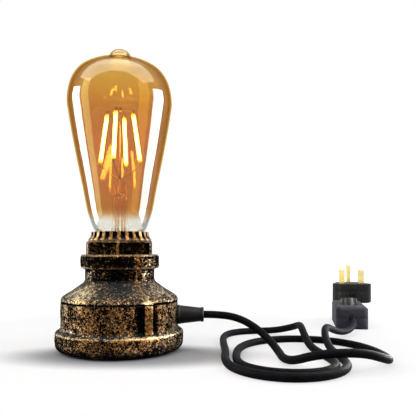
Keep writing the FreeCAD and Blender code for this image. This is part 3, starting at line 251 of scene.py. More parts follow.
def brushed_bronze_paint():
    """Malleable cast iron, painted matt black and dry-brushed with bronze paint. The brush leaves
    worm-like flecks about 1.1 mm wide on the raised grain, more and paler ones on edges and ribs,
    and paler ones, a painted highlight, on faces that look up. The hollows stay black, and turn slate
    grey where they look up: a painted reflection of the sky. At a slant the flecks look greyer, a
    painted sheen. Real flecks go down to a few tenths of a millimetre, which would not show, so they are
    drawn coarser."""
    soft_edge, metal_share = 0.045, 0.7
    tree, shader = finish("cast_base", "dry-brushed cast iron", {"Specular IOR Level": 0.0})
    place = add(tree, "ShaderNodeTexCoord", output="Object")
    bright = add(tree, "ShaderNodeAttribute", output="Fac", attribute_name="bright")
    coverage = add(tree, "ShaderNodeAttribute", output="Fac", attribute_name="coverage")
    patches = add(tree, "ShaderNodeTexNoise", {"Vector": place, "Scale": 1 / (7.0 * MM), "Detail": 1.0})
    patches = add(tree, "ShaderNodeMapRange", {
        "Value": patches, "From Min": NOISE_LOW, "From Max": NOISE_HIGH, "To Min": -0.12, "To Max": 0.12})
    amount = add(tree, "ShaderNodeMath", {0: coverage, 1: patches}, operation="ADD")
    edge = add(tree, "ShaderNodeMapRange", {"Value": amount, "To Min": 0.68, "To Max": 0.32})
    beyond = add(tree, "ShaderNodeMath", {0: edge, 1: soft_edge}, operation="ADD")
    grain = add(tree, "ShaderNodeTexNoise", {
        "Vector": place, "Scale": 1 / (1.1 * MM), "Detail": 2.5, "Distortion": 1.6})
    flecks = add(tree, "ShaderNodeMapRange", {"Value": grain, "From Min": edge, "From Max": beyond})
    strokes = add(tree, "ShaderNodeTexNoise", {"Vector": place, "Scale": 1 / (1.6 * MM)})
    strokes = add(tree, "ShaderNodeMapRange", {
        "Value": strokes, "From Min": NOISE_LOW, "From Max": NOISE_HIGH, "To Min": -0.16, "To Max": 0.16})
    tone = add(tree, "ShaderNodeMath", {0: bright, 1: strokes}, operation="ADD")
    bronze = add(tree, "ShaderNodeValToRGB", {"Fac": tone}, stops=[
        (0.0, "#281b0d"), (0.42, "#855f36"), (0.58, "#b39770"), (0.75, "#cbb68c"), (1.0, "#ecdcb4")])
    # Flecks seen at a slant turn towards this greyer ramp: a painted sheen.
    sheen_greyed_bronze = add(tree, "ShaderNodeValToRGB", {"Fac": tone}, stops=[
        (0.0, "#2b241b"), (0.42, "#8a765a"), (0.58, "#b3a58c"), (1.0, "#e6dcc4")])
    slant = add(tree, "ShaderNodeLayerWeight", {"Blend": 0.5}, output="Facing")
    slant = add(tree, "ShaderNodeMapRange", {"Value": slant, "From Min": 0.15, "From Max": 0.75})
    bronze = add(tree, "ShaderNodeMix", {"Factor": slant, 6: bronze, 7: sheen_greyed_bronze}, output=2, data_type="RGBA")
    # Where the tone runs high, as on the shoulder and the flange's top, the black turns slate grey: a painted
    # sheen.
    black = add(tree, "ShaderNodeValToRGB", {"Fac": tone}, stops=[
        (0.0, "#040303"), (0.42, "#090807"), (0.58, "#1d2023"), (1.0, "#565c60")])
    # Where the surface faces up, the black turns slate grey: a painted reflection of the sky.
    facing = add(tree, "ShaderNodeSeparateXYZ", {
        "Vector": add(tree, "ShaderNodeNewGeometry", output="Normal")}, output="Z")
    sky_reflection_mask = add(tree, "ShaderNodeMapRange", {"Value": facing, "From Min": 0.2, "From Max": 0.75})
    black = add(tree, "ShaderNodeMix", {"Factor": sky_reflection_mask, 6: black, 7: "#262c31"}, output=2, data_type="RGBA")
    colour = add(tree, "ShaderNodeMix", {"Factor": flecks, 6: black, 7: bronze}, output=2, data_type="RGBA")
    metal = add(tree, "ShaderNodeMath", {0: flecks, 1: metal_share}, operation="MULTIPLY")
    dull = add(tree, "ShaderNodeMapRange", {"Value": flecks, "To Min": 0.6, "To Max": 0.42})
    skin = add(tree, "ShaderNodeTexNoise", {"Vector": place, "Scale": 1 / (2.6 * MM)})
    skin = add(tree, "ShaderNodeBump", {"Height": skin, "Distance": 0.2 * MM})
    skin = add(tree, "ShaderNodeBump", {"Height": flecks, "Distance": 0.08 * MM, "Normal": skin})
    feed(tree, shader, {"Base Color": colour, "Metallic": metal, "Roughness": dull, "Normal": skin})
    finishes["cast_fittings"] = finishes["cast_base"]


def tinted_bulb_glass():
    """Soda-lime glass blown thin, with an amber lustre coat that stops short of the neck. The coat
    is yellower over the dome, where it is thin. At a slant it is browner: painted shade for the dark
    surroundings that the rim refracts. A little light scatters in it, so it glows near the filaments.
    Its rim is mixed with a tinted clear pass, which also lets lamps and filaments light what is behind it."""
    tree, shader = finish("tinted_glass", "amber lustre glass", {
        "Roughness": 0.0, "IOR": 1.45, "Transmission Weight": 0.95})
    place = add(tree, "ShaderNodeTexCoord", output="Object")
    height = add(tree, "ShaderNodeSeparateXYZ", {"Vector": place}, output="Z")
    coated = add(tree, "ShaderNodeMapRange", {
        "Value": height, "From Min": COAT_STARTS, "From Max": COAT_FULL})
    up = add(tree, "ShaderNodeMapRange", {
        "Value": height, "From Min": COAT_STARTS, "From Max": COAT_TOP})
    slant = add(tree, "ShaderNodeLayerWeight", {"Blend": 0.5}, output="Facing")
    amber = add(tree, "ShaderNodeValToRGB", {"Fac": up}, stops=[
        (0.0, "#cf9f38"), (0.5, "#ca933a"), (0.78, "#d4ab40"), (0.95, "#efdfa4")])
    # The tint at a slant is painted shade for the dark surroundings refracted at the rim.
    deep = add(tree, "ShaderNodeMapRange", {"Value": slant, "From Min": 0.2, "From Max": 0.8})
    amber = add(tree, "ShaderNodeMix", {"Factor": deep, 6: amber, 7: "#c9ac4e"}, output=2, data_type="RGBA")
    amber = add(tree, "ShaderNodeMix", {"Factor": coated, 6: "#f1f2ef", 7: amber}, output=2, data_type="RGBA")
    feed(tree, shader, {"Base Color": amber})
    rim = add(tree, "ShaderNodeMix", {"Factor": coated, 6: "#dcdedc", 7: "#dfc676"}, output=2,
              data_type="RGBA")
    clear = add(tree, "ShaderNodeBsdfTransparent", {"Color": rim})
    share = add(tree, "ShaderNodeMapRange", {
        "Value": slant, "From Min": 0.42, "From Max": 0.68, "To Max": 0.94})
    shadow_rays = add(tree, "ShaderNodeLightPath", output="Is Shadow Ray")
    share = add(tree, "ShaderNodeMath", {0: shadow_rays, 1: share}, operation="MAXIMUM")
    both = add(tree, "ShaderNodeMixShader", {0: share, 1: shader.outputs["BSDF"], 2: clear})
    feed(tree, tree.nodes["Material Output"], {"Surface": both})


def lit_phosphor():
    """Silicone with yellow phosphor over a row of LED chips, lit: white-hot along its middle and
    yellow where the chips stop short of the ends."""
    end_glow, middle_glow = 3.0, 90.0
    tree, shader = finish("led_phosphor", "lit phosphor silicone", {
        "Roughness": 0.5, "IOR": 1.41, "Base Color": "#f4c542"})
    along = add(tree, "ShaderNodeAttribute", output="Fac", attribute_name="along")
    glow = add(tree, "ShaderNodeValToRGB", {"Fac": along}, stops=[(0.03, "#ffc23a"), (0.12, "#fff9ec")])
    power = add(tree, "ShaderNodeMapRange", {
        "Value": along, "From Min": 0.02, "From Max": 0.12, "To Min": end_glow, "To Max": middle_glow})
    feed(tree, shader, {"Emission Color": glow, "Emission Strength": power})


def two_toned(slot, name, dark, light, size, low, high, depth=0.0, **constants):
    """A finish that varies between two near colours and two roughnesses, over clouds this many
    millimetres wide, with a grain a quarter as wide and this deep. Mould grain, spark texture,
    drawing marks and fibres are finer than that on the real pieces. They would not show, so they
    are drawn this coarse."""
    tree, shader = finish(slot, name, {key.replace("_", " "): value for key, value in constants.items()})
    place = add(tree, "ShaderNodeTexCoord", output="Object")
    cloud = add(tree, "ShaderNodeTexNoise", {"Vector": place, "Scale": 1 / (size * MM)})
    colour = add(tree, "ShaderNodeValToRGB", {"Fac": cloud}, stops=[(0.35, dark), (0.65, light)])
    dull = add(tree, "ShaderNodeMapRange", {
        "Value": cloud, "From Min": NOISE_LOW, "From Max": NOISE_HIGH, "To Min": low, "To Max": high})
    feed(tree, shader, {"Base Color": colour, "Roughness": dull})
    if depth:
        grain = add(tree, "ShaderNodeTexNoise", {"Vector": place, "Scale": 4 / (size * MM)})
        feed(tree, shader, {"Normal": add(tree, "ShaderNodeBump", {"Height": grain, "Distance": depth * MM})})


def make_finishes():
    """Every finish, by the name of its slot. Colours are a dark and a light one, then follow the
    clouds' width, the lowest and highest roughness, and the depth of the grain."""
    brushed_bronze_paint()
    tinted_bulb_glass()
    lit_phosphor()
    # Flame-worked clear glass: smooth, with hardly any colour of its own.
    two_toned("clear_glass", "clear stem glass", "#fcf6e8", "#fffdf6", 6, 0.0, 0.03, IOR=1.5,
              Transmission_Weight=1.0)
    # Zinc-plated pressed steel: bluish grey, with soft spangle a few millimetres wide.
    two_toned("zinc_steel", "zinc-plated steel", "#9a9fa4", "#b9bdc0", 3, 0.3, 0.42, 0.01, Metallic=1.0)
    # Moulded rubber: dull, with a fine mould grain.
    two_toned("foot_rubber", "moulded rubber", "#131313", "#1c1c1c", 2, 0.75, 0.88, 0.03)
    # Nickel-plated machine screws: bright, slightly scuffed by the driver.
    two_toned("steel_screws", "nickel-plated screws", "#b8b6b0", "#d6d4ce", 1.2, 0.22, 0.36, 0.01,
              Metallic=1.0)
    # Moulded urea: hard and glossy, nearly even in colour.
    two_toned("holder_moulding", "urea moulding", "#161514", "#1f1d1b", 4, 0.35, 0.45, 0.01)
    # Stamped brass strip: even, with a rolled sheen.
    two_toned("brass_contacts", "stamped brass", "#b08d4a", "#c9a866", 2, 0.28, 0.4, 0.01, Metallic=1.0)
    # Machined brass pins: pale yellow, polished by use.
    two_toned("pin_brass", "polished brass pins", "#d2c483", "#dccf96", 6, 0.24, 0.3, Metallic=1.0)
    # Drawn nickel-iron wire: thin and grey with a warm cast.
    two_toned("nickel_wire", "nickel-iron wire", "#7d6e55", "#a8946e", 0.8, 0.3, 0.45, 0.01, Metallic=1.0)
    # Copper-clad lead wire, sealed in the stem: coppery, reddish where the glass was pinched on it.
    two_toned("copper_wire", "copper-clad lead wire", "#dda878", "#f6d8ac", 1.5, 0.25, 0.4, Metallic=1.0)
    # Rolled aluminium cap: bright, with faint roll lines.
    two_toned("cap_metal", "rolled cap aluminium", "#a9a9a5", "#c6c6c2", 1.5, 0.25, 0.4, 0.02, Metallic=1.0)
    # Black vitrite: poured glass that sets shiny and slightly wavy.
    two_toned("cap_vitrite", "black vitrite glass", "#08080b", "#101016", 3, 0.08, 0.16, 0.02)
    # Glass-epoxy board: green, where its solder mask lies over the weave.
    two_toned("circuit_board", "green circuit board", "#1c5a34", "#2a7345", 2, 0.35, 0.5, 0.02)
    # Moulded nylon: satin black, with the gate side a little duller.
    two_toned("gland_moulding", "nylon gland", "#090809", "#0e0d0e", 2.5, 0.42, 0.55, 0.02,
              Specular_IOR_Level=0.12)
    # Extruded PVC jacket: flat black, with the faint ripple of extrusion.
    two_toned("cord_jacket", "PVC cord jacket", "#0c0b0e", "#131217", 3, 0.5, 0.62, 0.03,
              Specular_IOR_Level=0.015)
    # Thin PVC over the cores: even and slightly waxy, in the two colours of a mains lead.
    two_toned("brown_core", "brown PVC insulation", "#5a2f17", "#6d3b1f", 2, 0.4, 0.5)
    two_toned("blue_core", "blue PVC insulation", "#1e4fa3", "#2a60bd", 2, 0.4, 0.5)
    # Stranded copper, tinned where it was soldered: pinkish, with the twist showing as fine bumps.
    two_toned("wiring", "tinned copper wire", "#b87a52", "#cf9468", 1, 0.3, 0.45, 0.02, Metallic=1.0)
    # Moulded ABS case: slate grey-black with a fine spark-eroded texture.
    two_toned("switch_moulding", "spark-textured ABS", "#2c2d34", "#383942", 0.9, 0.5, 0.64, 0.03,
              Specular_IOR_Level=0.05)
    # The rocker's ABS comes from a smoother mould: blacker and shinier than the case.
    two_toned("rocker_moulding", "satin ABS rocker", "#1a1a1f", "#24242a", 1.4, 0.32, 0.46, 0.015,
              Specular_IOR_Level=0.2)
    # Patented spring wire: blue-grey, with drawing marks.
    two_toned("spring_steel", "spring steel wire", "#7d7f82", "#9b9da0", 0.8, 0.3, 0.4, Metallic=1.0)
    # Moulded urea plug: charcoal, satin and hard.
    two_toned("plug_moulding", "satin urea plug", "#1f1f1e", "#2b2b2a", 1.1, 0.4, 0.54, 0.025,
              Specular_IOR_Level=0.1)
    # Vulcanised fibre: reddish brown board with short fibres.
    two_toned("grip_fibre", "vulcanised fibre", "#5b2a1d", "#74402e", 1, 0.65, 0.8, 0.04)
    # Glazed steatite tube: cream, nearly even, with a glassy skin.
    two_toned("fuse_body", "glazed fuse ceramic", "#d9d2bf", "#e9e4d6", 4, 0.2, 0.3)


make_finishes()
SLOT_OF = {entry["node"]: entry["material_slot"] for entry in frame["record"]["subparts"]}
for name, thing in nodes.items():
    thing.data.materials.clear()
    thing.data.materials.append(finishes[SLOT_OF[name]])


# ---------------------------------------------------------------- shapes
# Steps round a corner, the distance at which points become one, in pieces and in CAD nodes, and the
# edge length that goes, in millimetres. Then the angle from which a CAD edge is rounded.
CORNER_STEP = 0.4
WELD, CAD_WELD, SLIVER = 0.002, 0.003, 0.001
SHARP_EDGE = math.radians(28)


def turn_of(first, second):
    """The signed angle from one flat direction to another."""
    return math.atan2(first.x * second.y - first.y * second.x, first.dot(second))


def outline(points, step=None):
    """A closed outline. A third number in a point rounds its corner; step divides long stretches."""
    rounded = []
    for place, point in enumerate(points):
        here = Vector(point[:2])
        if len(point) < 3:
            rounded.append(here)
            continue
        back = (Vector(points[place - 1][:2]) - here).normalized()
        on = (Vector(points[(place + 1) % len(points)][:2]) - here).normalized()
        half = back.angle(on) / 2
        centre = here + (back + on).normalized() * point[2] / math.sin(half)
        start = here + back * point[2] / math.tan(half) - centre
        sweep = turn_of(start, here + on * point[2] / math.tan(half) - centre)
        steps = max(3, int(abs(sweep) * point[2] / (step or CORNER_STEP)))
        for index in range(steps + 1):
            rounded.append(centre + Matrix.Rotation(sweep * index / steps, 2) @ start)
    if step is None:
        return rounded
    divided = []
    for place, here in enumerate(rounded):
        on = rounded[(place + 1) % len(rounded)]
        count = max(1, round((on - here).length / step))
        divided += [here.lerp(on, index / count) for index in range(count)]
    return divided


def flowing(points, steps):
    """A smooth open line through the points, with this many steps between two of them."""
    line = [Vector(point) for point in points]
    line = [line[0] * 2 - line[1]] + line + [line[-1] * 2 - line[-2]]
    made = []
    for index in range(1, len(line) - 2):
        before, here, on, after = line[index - 1:index + 3]
        knots = [0.0]
        for first, second in ((before, here), (here, on), (on, after)):
            knots.append(knots[-1] + max((second - first).length, 1e-6) ** 0.5)
        for step in range(steps):
            time = knots[1] + (knots[2] - knots[1]) * step / steps
            a = before.lerp(here, (time - knots[0]) / (knots[1] - knots[0]))
            b = here.lerp(on, (time - knots[1]) / (knots[2] - knots[1]))
            c = on.lerp(after, (time - knots[2]) / (knots[3] - knots[2]))
            near = a.lerp(b, (time - knots[0]) / (knots[2] - knots[0]))
            far = b.lerp(c, (time - knots[1]) / (knots[3] - knots[1]))
            made.append(near.lerp(far, (time - knots[1]) / (knots[2] - knots[1])))
    return made + [line[-2]]


def full_turn(count, fine=(), fine_width=0, fine_count=0):
    """Angles round a full turn, with more of them near the fine ones."""
    angles = [2 * math.pi * index / count for index in range(count)]
    for centre in fine:
        angles = [angle for angle in angles
                  if abs((angle - centre + math.pi) % (2 * math.pi) - math.pi) > fine_width]
        angles += [(centre + fine_width * (2 * index / fine_count - 1)) % (2 * math.pi)
                   for index in range(fine_count + 1)]
    return sorted(angles)


def turned(shape, angles, reshape=None):
    """Points and faces of a closed outline of radius and height, turned about Z."""
    points = []
    for angle in angles:
        for radius, height in shape:
            if reshape:
                radius, height = reshape(angle, radius, height)
            points.append((radius * math.cos(angle), radius * math.sin(angle), height))
    return points, woven(len(angles), len(shape))


def woven(rows, columns):
    """Faces of a grid of points that closes on itself both ways."""
    faces = []
    for row in range(rows):
        for column in range(columns):
            right = (column + 1) % columns
            on = (row + 1) % rows
            faces.append((row * columns + column, row * columns + right, on * columns + right,
                          on * columns + column))
    return faces


def straight(start, end, radius):
    """A round rod from one point to another, with slightly rounded ends."""
    length = (end - start).length
    shape = [(0, 0), (radius * 0.8, 0), (radius, radius * 0.3), (radius, length - radius * 0.3),
             (radius * 0.8, length), (0, length)]
    points, faces = turned(shape, full_turn(14))
    steer = (end - start).to_track_quat("Z", "Y")
    return [start + steer @ Vector(point) for point in points], faces


def together(shapes):
    """Several shapes' points and faces as one."""
    points, faces = [], []
    for more_points, more_faces in shapes:
        faces += [tuple(corner + len(points) for corner in face) for face in more_faces]
        points += more_points
    return points, faces


def piece(name, slot, shape, body="base", stands_for=(), place=None, marks=None, sharp=35):
    """A mesh piece from points and faces in millimetres. marks gives numbers for the finish, by
    name, worked out from a point. Edges over sharp degrees are shaded sharp."""
    points, faces = shape
    mesh = bpy.data.meshes.new(name)
    mesh.from_pydata([Vector(point) * MM for point in points], [], faces)
    work = bmesh.new()
    work.from_mesh(mesh)
    bmesh.ops.remove_doubles(work, verts=work.verts, dist=WELD * MM)
    bmesh.ops.dissolve_degenerate(work, edges=work.edges, dist=SLIVER * MM)
    bmesh.ops.recalc_face_normals(work, faces=work.faces)
    work.to_mesh(mesh)
    work.free()
    for mark, number_at in (marks or {}).items():
        layer = mesh.attributes.new(mark, "FLOAT", "POINT")
        for index, vertex in enumerate(mesh.vertices):
            layer.data[index].value = number_at(vertex.co / MM)
    if place:
        mesh.transform(place)
    return dressed(name, slot, mesh, body, stands_for, sharp)


def dressed(name, slot, mesh, body, stands_for, sharp):
    """Makes the object of a finished mesh, with its finish, its body and what it stands for."""
    mesh.shade_smooth()
    mesh.set_sharp_from_angle(angle=math.radians(sharp))
    mesh.materials.clear()
    mesh.materials.append(finishes[slot])
    made = bpy.data.objects.new(name, mesh)
    scene.collection.objects.link(made)
    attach(made, body)
    if stands_for:
        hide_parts(*stands_for)
    return made


def roughened(shape, depth, size, keep=None):
    """Moves points by the uneven skin of a sand casting: lumps of this size and depth."""
    points, faces = shape
    moved = []
    for point in points:
        here = Vector(point)
        share = keep(here) if keep else 1
        skin = noise.noise(here / size) + 0.5 * noise.noise(here / size * 2.3)
        outward = Vector((here.x, here.y, 0)).normalized()
        moved.append(here + outward * skin * depth * share)
    return moved, faces


def eased(value, low, high):
    """0 below low, 1 above high, and a smooth rise between them."""
    share = min(max((value - low) / (high - low), 0), 1)
    return share * share * (3 - 2 * share)


def softened(name, node, width, body, rims):
    """A CAD node with its sharp edges rounded. Each of rims is a test of an edge's middle, with the
    wider rounding that it gets first and its number of steps."""
    work = bmesh.new()
    work.from_mesh(nodes[node].data)
    bmesh.ops.remove_doubles(work, verts=work.verts, dist=CAD_WELD * MM)
    bmesh.ops.dissolve_limit(work, angle_limit=math.radians(1), verts=work.verts, edges=work.edges)
    for test, wide, segments in (*rims, (lambda middle: True, width, 2)):
        edges = [edge for edge in work.edges if len(edge.link_faces) == 2
                 and edge.calc_face_angle(0) > SHARP_EDGE
                 and test((edge.verts[0].co + edge.verts[1].co) / 2 / MM)]
        bmesh.ops.bevel(work, geom=edges, offset=wide * MM, segments=segments, profile=0.5,
                        affect="EDGES", clamp_overlap=True)
    mesh = bpy.data.meshes.new(name)
    work.to_mesh(mesh)
    work.free()
    dressed(name, SLOT_OF[node], mesh, body, [node], 40)


def near(value, middle, width):
    """1 at the middle, falling smoothly to 0 at this width from it."""
    return 1 - eased(abs(value - middle), 0, width)


# ---------------------------------------------------------------- cast base and fittings
RIB_ANGLES = (math.radians(-55), math.radians(125))
# Radii of the casting. Inside the last one nothing is brushed or ribbed.
FLANGE_LEDGE, BARREL, NECK, COLLAR, BORE, CAVITY, HIDDEN = 37.4, 35.7, 21.2, 24.0, 16.6, 29.0, 20.5
# Heights of the casting.
FLANGE_LIP, FLANGE_TOP, SHOULDER_EDGE, NECK_FOOT, COLLAR_FOOT = 11.9, 13.2, 30.6, 44, 50.1
COLLAR_RIMS = (50.6, 58.2)
# Bronze on plain casting: how much of it is covered, and how pale it looks.
PLAIN_COVERAGE, PLAIN_TONE = 0.38, 0.41


def aside_of_rib(point):
    """How far a point of the casting is from the middle of the nearer rib, along the surface."""
    radius = math.hypot(point.x, point.y)
    turns = [abs((math.atan2(point.y, point.x) - centre + math.pi) % (2 * math.pi) - math.pi)
             for centre in RIB_ANGLES]
    return radius * math.sin(min(*turns, math.pi / 2))


# Where the brush went over the casting more than once: azimuth in degrees and how far round it
# reaches, height and reach, how much more coverage it left and how much paler.
STROKES = [
    (-128, 30, 36, 7, 0.28, 0.16), (-30, 40, 36, 8, 0.12, 0.08), (-85, 30, 40, 7, -0.14, -0.06),
    (-105, 50, 32.3, 3, 0.06, 0.04), (-84, 30, 46, 5, -0.1, -0.06), (-84, 30, 54, 5, -0.1, -0.04),
    (-48, 40, 11.9, 2, 0.2, 0.14), (-16, 22, 22, 13, 0.06, -0.07), (-160, 26, 22, 10, 0.0, -0.1),
    (40, 40, 36, 9, 0.22, 0.14), (100, 30, 39, 8, -0.08, 0.0), (160, 36, 36, 8, 0.2, 0.16),
    (60, 30, 20, 10, 0.12, 0.05), (-30, 34, 46, 7, 0.2, 0.2), (-142, 30, 46, 7, 0.22, 0.18),
    (-145, 30, 54, 6, -0.02, -0.06), (-35, 28, 54, 6, 0.16, 0.1), (-154, 40, 7, 9, -0.22, -0.1),
    (-142, 30, 22, 9, -0.05, -0.12), (-40, 28, 7, 6, 0.04, 0.1),
]


def brushed(point):
    """How much bronze the brush left on the casting at a point, and how pale it looks."""
    radius = math.hypot(point.x, point.y)
    azimuth = math.degrees(math.atan2(point.y, point.x))
    shoulder = eased(point.z, SHOULDER_EDGE, SHOULDER_EDGE + 1.5) * (1 - eased(point.z, 41, NECK_FOOT))
    neck = eased(point.z, 41.5, NECK_FOOT)
    amount = PLAIN_COVERAGE - 0.08 * shoulder - 0.25 * neck
    # The shoulder is paler, in flecks and black: a painted highlight from the light above.
    bright = PLAIN_TONE + 0.06 * shoulder - 0.04 * neck
    for around, reach_round, height, reach_up, more, paler in STROKES:
        turn = (azimuth - around + 180) % 360 - 180
        share = near(turn, 0, reach_round) * near(point.z, height, reach_up)
        amount += more * share
        bright += paler * share
    # The flange's top, paler as a painted sky reflection, the rims, and the black groove under the shoulder's
    # edge.
    on_flange = near(point.z, FLANGE_TOP, 1.4) * (1 if 35.9 < radius < 38.4 else 0)
    amount -= 0.12 * on_flange
    bright += 0.2 * on_flange
    rims = 0.5 * near(point.z, FLANGE_LIP, 1.0) * (radius > 38.0)
    rims += 0.2 * near(point.z, SHOULDER_EDGE + 0.8, 1.2)
    if radius > 22.2:
        rims += sum(near(point.z, height, 0.9) for height in COLLAR_RIMS)
    amount += 0.42 * min(rims, 1)
    bright += 0.16 * min(rims, 1)
    amount -= 0.8 * near(point.z, SHOULDER_EDGE - 0.3, 0.8) * (radius > 30)
    # The rib's bare crest, with ragged black bands where the brush could not reach beside it.
    if point.z > FLANGE_TOP and radius > HIDDEN:
        aside = aside_of_rib(point)
        half = 2.4 if point.z < 32 else 0.8
        crest = 1 - eased(aside, half, half + 0.5)
        uneven = 1.4 * noise.noise(point / 5)
        band = (1 - eased(aside - half + uneven, 1.6, 5.6)) * (1 - crest) if point.z < SHOULDER_EDGE else 0
        amount += (0.3 if point.z < 34 else 0.25) * crest - 0.62 * band
        bright += (0.4 * near(point.z, 31, 5) - 0.22) * crest - 0.25 * band
    elif point.z < 12.4 and radius > 38:
        amount += 0.25 * near(aside_of_rib(point), 0, 1.2)
    # Less bronze towards the foot: painted shade where the flange meets the floor.
    amount -= 0.2 * (1 - eased(point.z, 1.5, 6.0))
    return min(max(amount, -0.3), 1.3), min(max(bright, 0), 1)


def base_casting():
    """Reducing socket: flange, barrel, sloping shoulder, neck and collar, with two moulded ribs."""
    flange = reach("base_casting") - 0.35
    foot, top = level("base_casting", 0), level("base_casting", 1)
    shape = outline([
        (flange, foot, 4.4), (flange, FLANGE_LIP, 1.4), (FLANGE_LEDGE, 12.9, 0.7), (36.6, 13.3, 0.3),
        (BARREL, 14.8, 0.9), (BARREL, SHOULDER_EDGE - 1.0, 0.3), (35.2, SHOULDER_EDGE - 0.5, 0.25),
        (35.8, SHOULDER_EDGE, 0.4), (35.4, 32.9, 3.4), (28.0, 37.6), (21.9, 42.0, 2.6), (NECK, 43.6, 2.0),
        (NECK, COLLAR_FOOT, 0.9), (COLLAR, COLLAR_FOOT, 1.6), (COLLAR, top, 1.4), (BORE, top),
        (BORE, 42.5), (CAVITY, 30.5), (CAVITY, 5.3), (31.5, 5.3), (31.5, foot),
    ], 0.75)

    def ribbed(angle, radius, height):
        """Raises the skin over the ribs: wide on the barrel, thin up the shoulder and neck."""
        in_cavity = radius < CAVITY + 0.5 and height < 30
        if radius < HIDDEN or height < 12.6 or height > COLLAR_RIMS[0] or in_cavity:
            return radius, height
        aside = aside_of_rib(Vector((radius * math.cos(angle), radius * math.sin(angle), height)))
        wide = 1 - eased(height, SHOULDER_EDGE, SHOULDER_EDGE + 2)
        half = 0.8 + 1.7 * wide
        proud = 0.6 + 1.3 * wide
        rise = (1 - eased(aside, half - 0.15, half + 0.5)) * eased(height, 12.9, 14.2)
        return radius + proud * rise, height

    def outside(point):
        return 1 if math.hypot(point.x, point.y) > HIDDEN and point.z > 6 else 0

    skin = turned(shape, full_turn(330, fine=RIB_ANGLES, fine_width=0.13, fine_count=34), ribbed)
    piece("cast_reducer", "cast_base", roughened(skin, 0.22, 4.5, outside), stands_for=["base_casting"],
          marks={"coverage": lambda point: brushed(point)[0], "bright": lambda point: brushed(point)[1]},
          sharp=50)


def hex_bushing():
    """Hexagonal head with worn corners, and its spigot down inside the neck."""
    foot, top = level("hex_bushing", 0), level("hex_bushing", 1)
    seat = level("base_casting", 1)
    half, corner, spigot, bore = 19.6, 21.5, 16.5, 15.05
    turn, side_angle, crispness = math.radians(36), math.radians(60), 90
    shape = outline([(spigot, foot), (spigot, seat), (corner, seat, 0.5), (corner, top - 1.5, 0.5),
                     (half - 0.6, top, 0.6), (bore, top), (bore, foot)], 0.5)

    def six_sided(angle, radius, height):
        """Cuts the turned head down to six flats, with slightly rounded corners between them."""
        if radius < half - 0.9:
            return radius, height
        total = sum(max(math.cos(angle - turn - side_angle * (side + 0.5)), 0) ** crispness
                    for side in range(6))
        return min(radius, half * total ** (-1 / crispness)), height

    def off_corner(point):
        """How far a point is from the nearest corner, along the surface."""
        spin = (math.atan2(point.y, point.x) - turn) % side_angle
        return min(spin, side_angle - spin) * math.hypot(point.x, point.y)

    def worn(point):
        """1 along the six corners, where the bronze is rubbed on."""
        return 1 - eased(off_corner(point), 0.3, 1.2)

    def coverage(point):
        amount = 0.12 + 0.16 * (point.x < 2) + 0.5 * worn(point)
        amount += 0.5 * eased(point.z, top - 1.7, top - 1.1) + 0.3 * near(point.z, seat, 0.8)
        return amount

    def bright(point):
        return 0.1 + 0.24 * worn(point)

    skin = turned(shape, full_turn(432), six_sided)
    piece("hex_head", "cast_fittings", roughened(skin, 0.1, 3.5, lambda point: point.z > seat),
          stands_for=["hex_bushing"], marks={"coverage": coverage, "bright": bright}, sharp=40)


def fluted_ring():
    """Clamping ring with scooped flutes all round its flare."""
    foot, top = level("fluted_ring", 0), level("fluted_ring", 1)
    flutes, deep, bore, flare, hidden = 24, 1.5, 15.0, 19.3, 17.0
    shape = outline([(bore, foot), (flare, foot, 0.3), (flare, foot + 0.8), (18.2, foot + 2.0),
                     (17.7, foot + 3.4), (17.5, top, 0.35), (16.4, top), (bore, top - 2.1)], 0.35)

    def off_groove(angle):
        """0 in the middle of a flute and 1 on the ridge between two."""
        return 1 - abs(angle * flutes / (2 * math.pi) % 1 - 0.5) * 2

    def fluted(angle, radius, height):
        """Scoops the flutes out of the ring, down to just above its foot."""
        if radius < hidden:
            return radius, height
        scoop = (1 - eased(off_groove(angle), 0.15, 0.62)) * eased(height, foot + 0.5, foot + 1.5)
        return radius - deep * scoop * eased(radius, hidden, hidden + 0.5), height

    def ridge(point):
        return eased(off_groove(math.atan2(point.y, point.x)), 0.4, 0.7)

    def on_foot(point):
        return 1 - eased(point.z, foot + 0.5, foot + 1.1)

    def coverage(point):
        return 0.75 * ridge(point) + 0.6 * on_foot(point)

    def bright(point):
        return 0.26 + 0.1 * ridge(point) + 0.08 * on_foot(point)

    piece("fluted_collar", "cast_fittings", turned(shape, full_turn(480), fluted),
          stands_for=["fluted_ring"], marks={"coverage": coverage, "bright": bright}, sharp=45)


# ---------------------------------------------------------------- bulb
FILAMENT_TURN = -8
FILAMENT_LOW, FILAMENT_HIGH = 115.7, 145.8
UP = Vector((0, 0, 1))


def envelope():
    """Blown envelope with its sealed tip, an even wall thick. The stations are its radius at
    heights above the neck's end."""
    neck = level("bulb_glass", 0)
    wall = 0.8
    stations = [(12.2, 0.0), (12.65, 3.0), (14.0, 5.7), (16.0, 8.4), (19.3, 17.7), (22.6, 34.3),
                (27.1, 56.4), (31.0, 78.6), (32.0, 87.8), (29.9, 98.6), (25.4, 105.6), (17.6, 110.2),
                (10.8, 112.3), (7.9, 113.4), (6.8, 115.2), (5.9, 117.2), (3.8, 118.9), (0.0, 119.5)]
    outer = [Vector((max(point.x, 0), point.y + neck)) for point in flowing(stations, 10)]
    inner = []
    for place, here in enumerate(outer):
        run = outer[min(place + 1, len(outer) - 1)] - outer[max(place - 1, 0)]
        inward = Vector((-run.y, run.x)).normalized() * wall
        inner.append(Vector((max(here.x + inward.x, 0), here.y + inward.y)))
    inner[0].y = outer[0].y
    inner[-1].x = 0
    piece("blown_envelope", "tinted_glass", turned(outer + inner[::-1], full_turn(144)), "bulb",
          ["bulb_glass"], sharp=60)


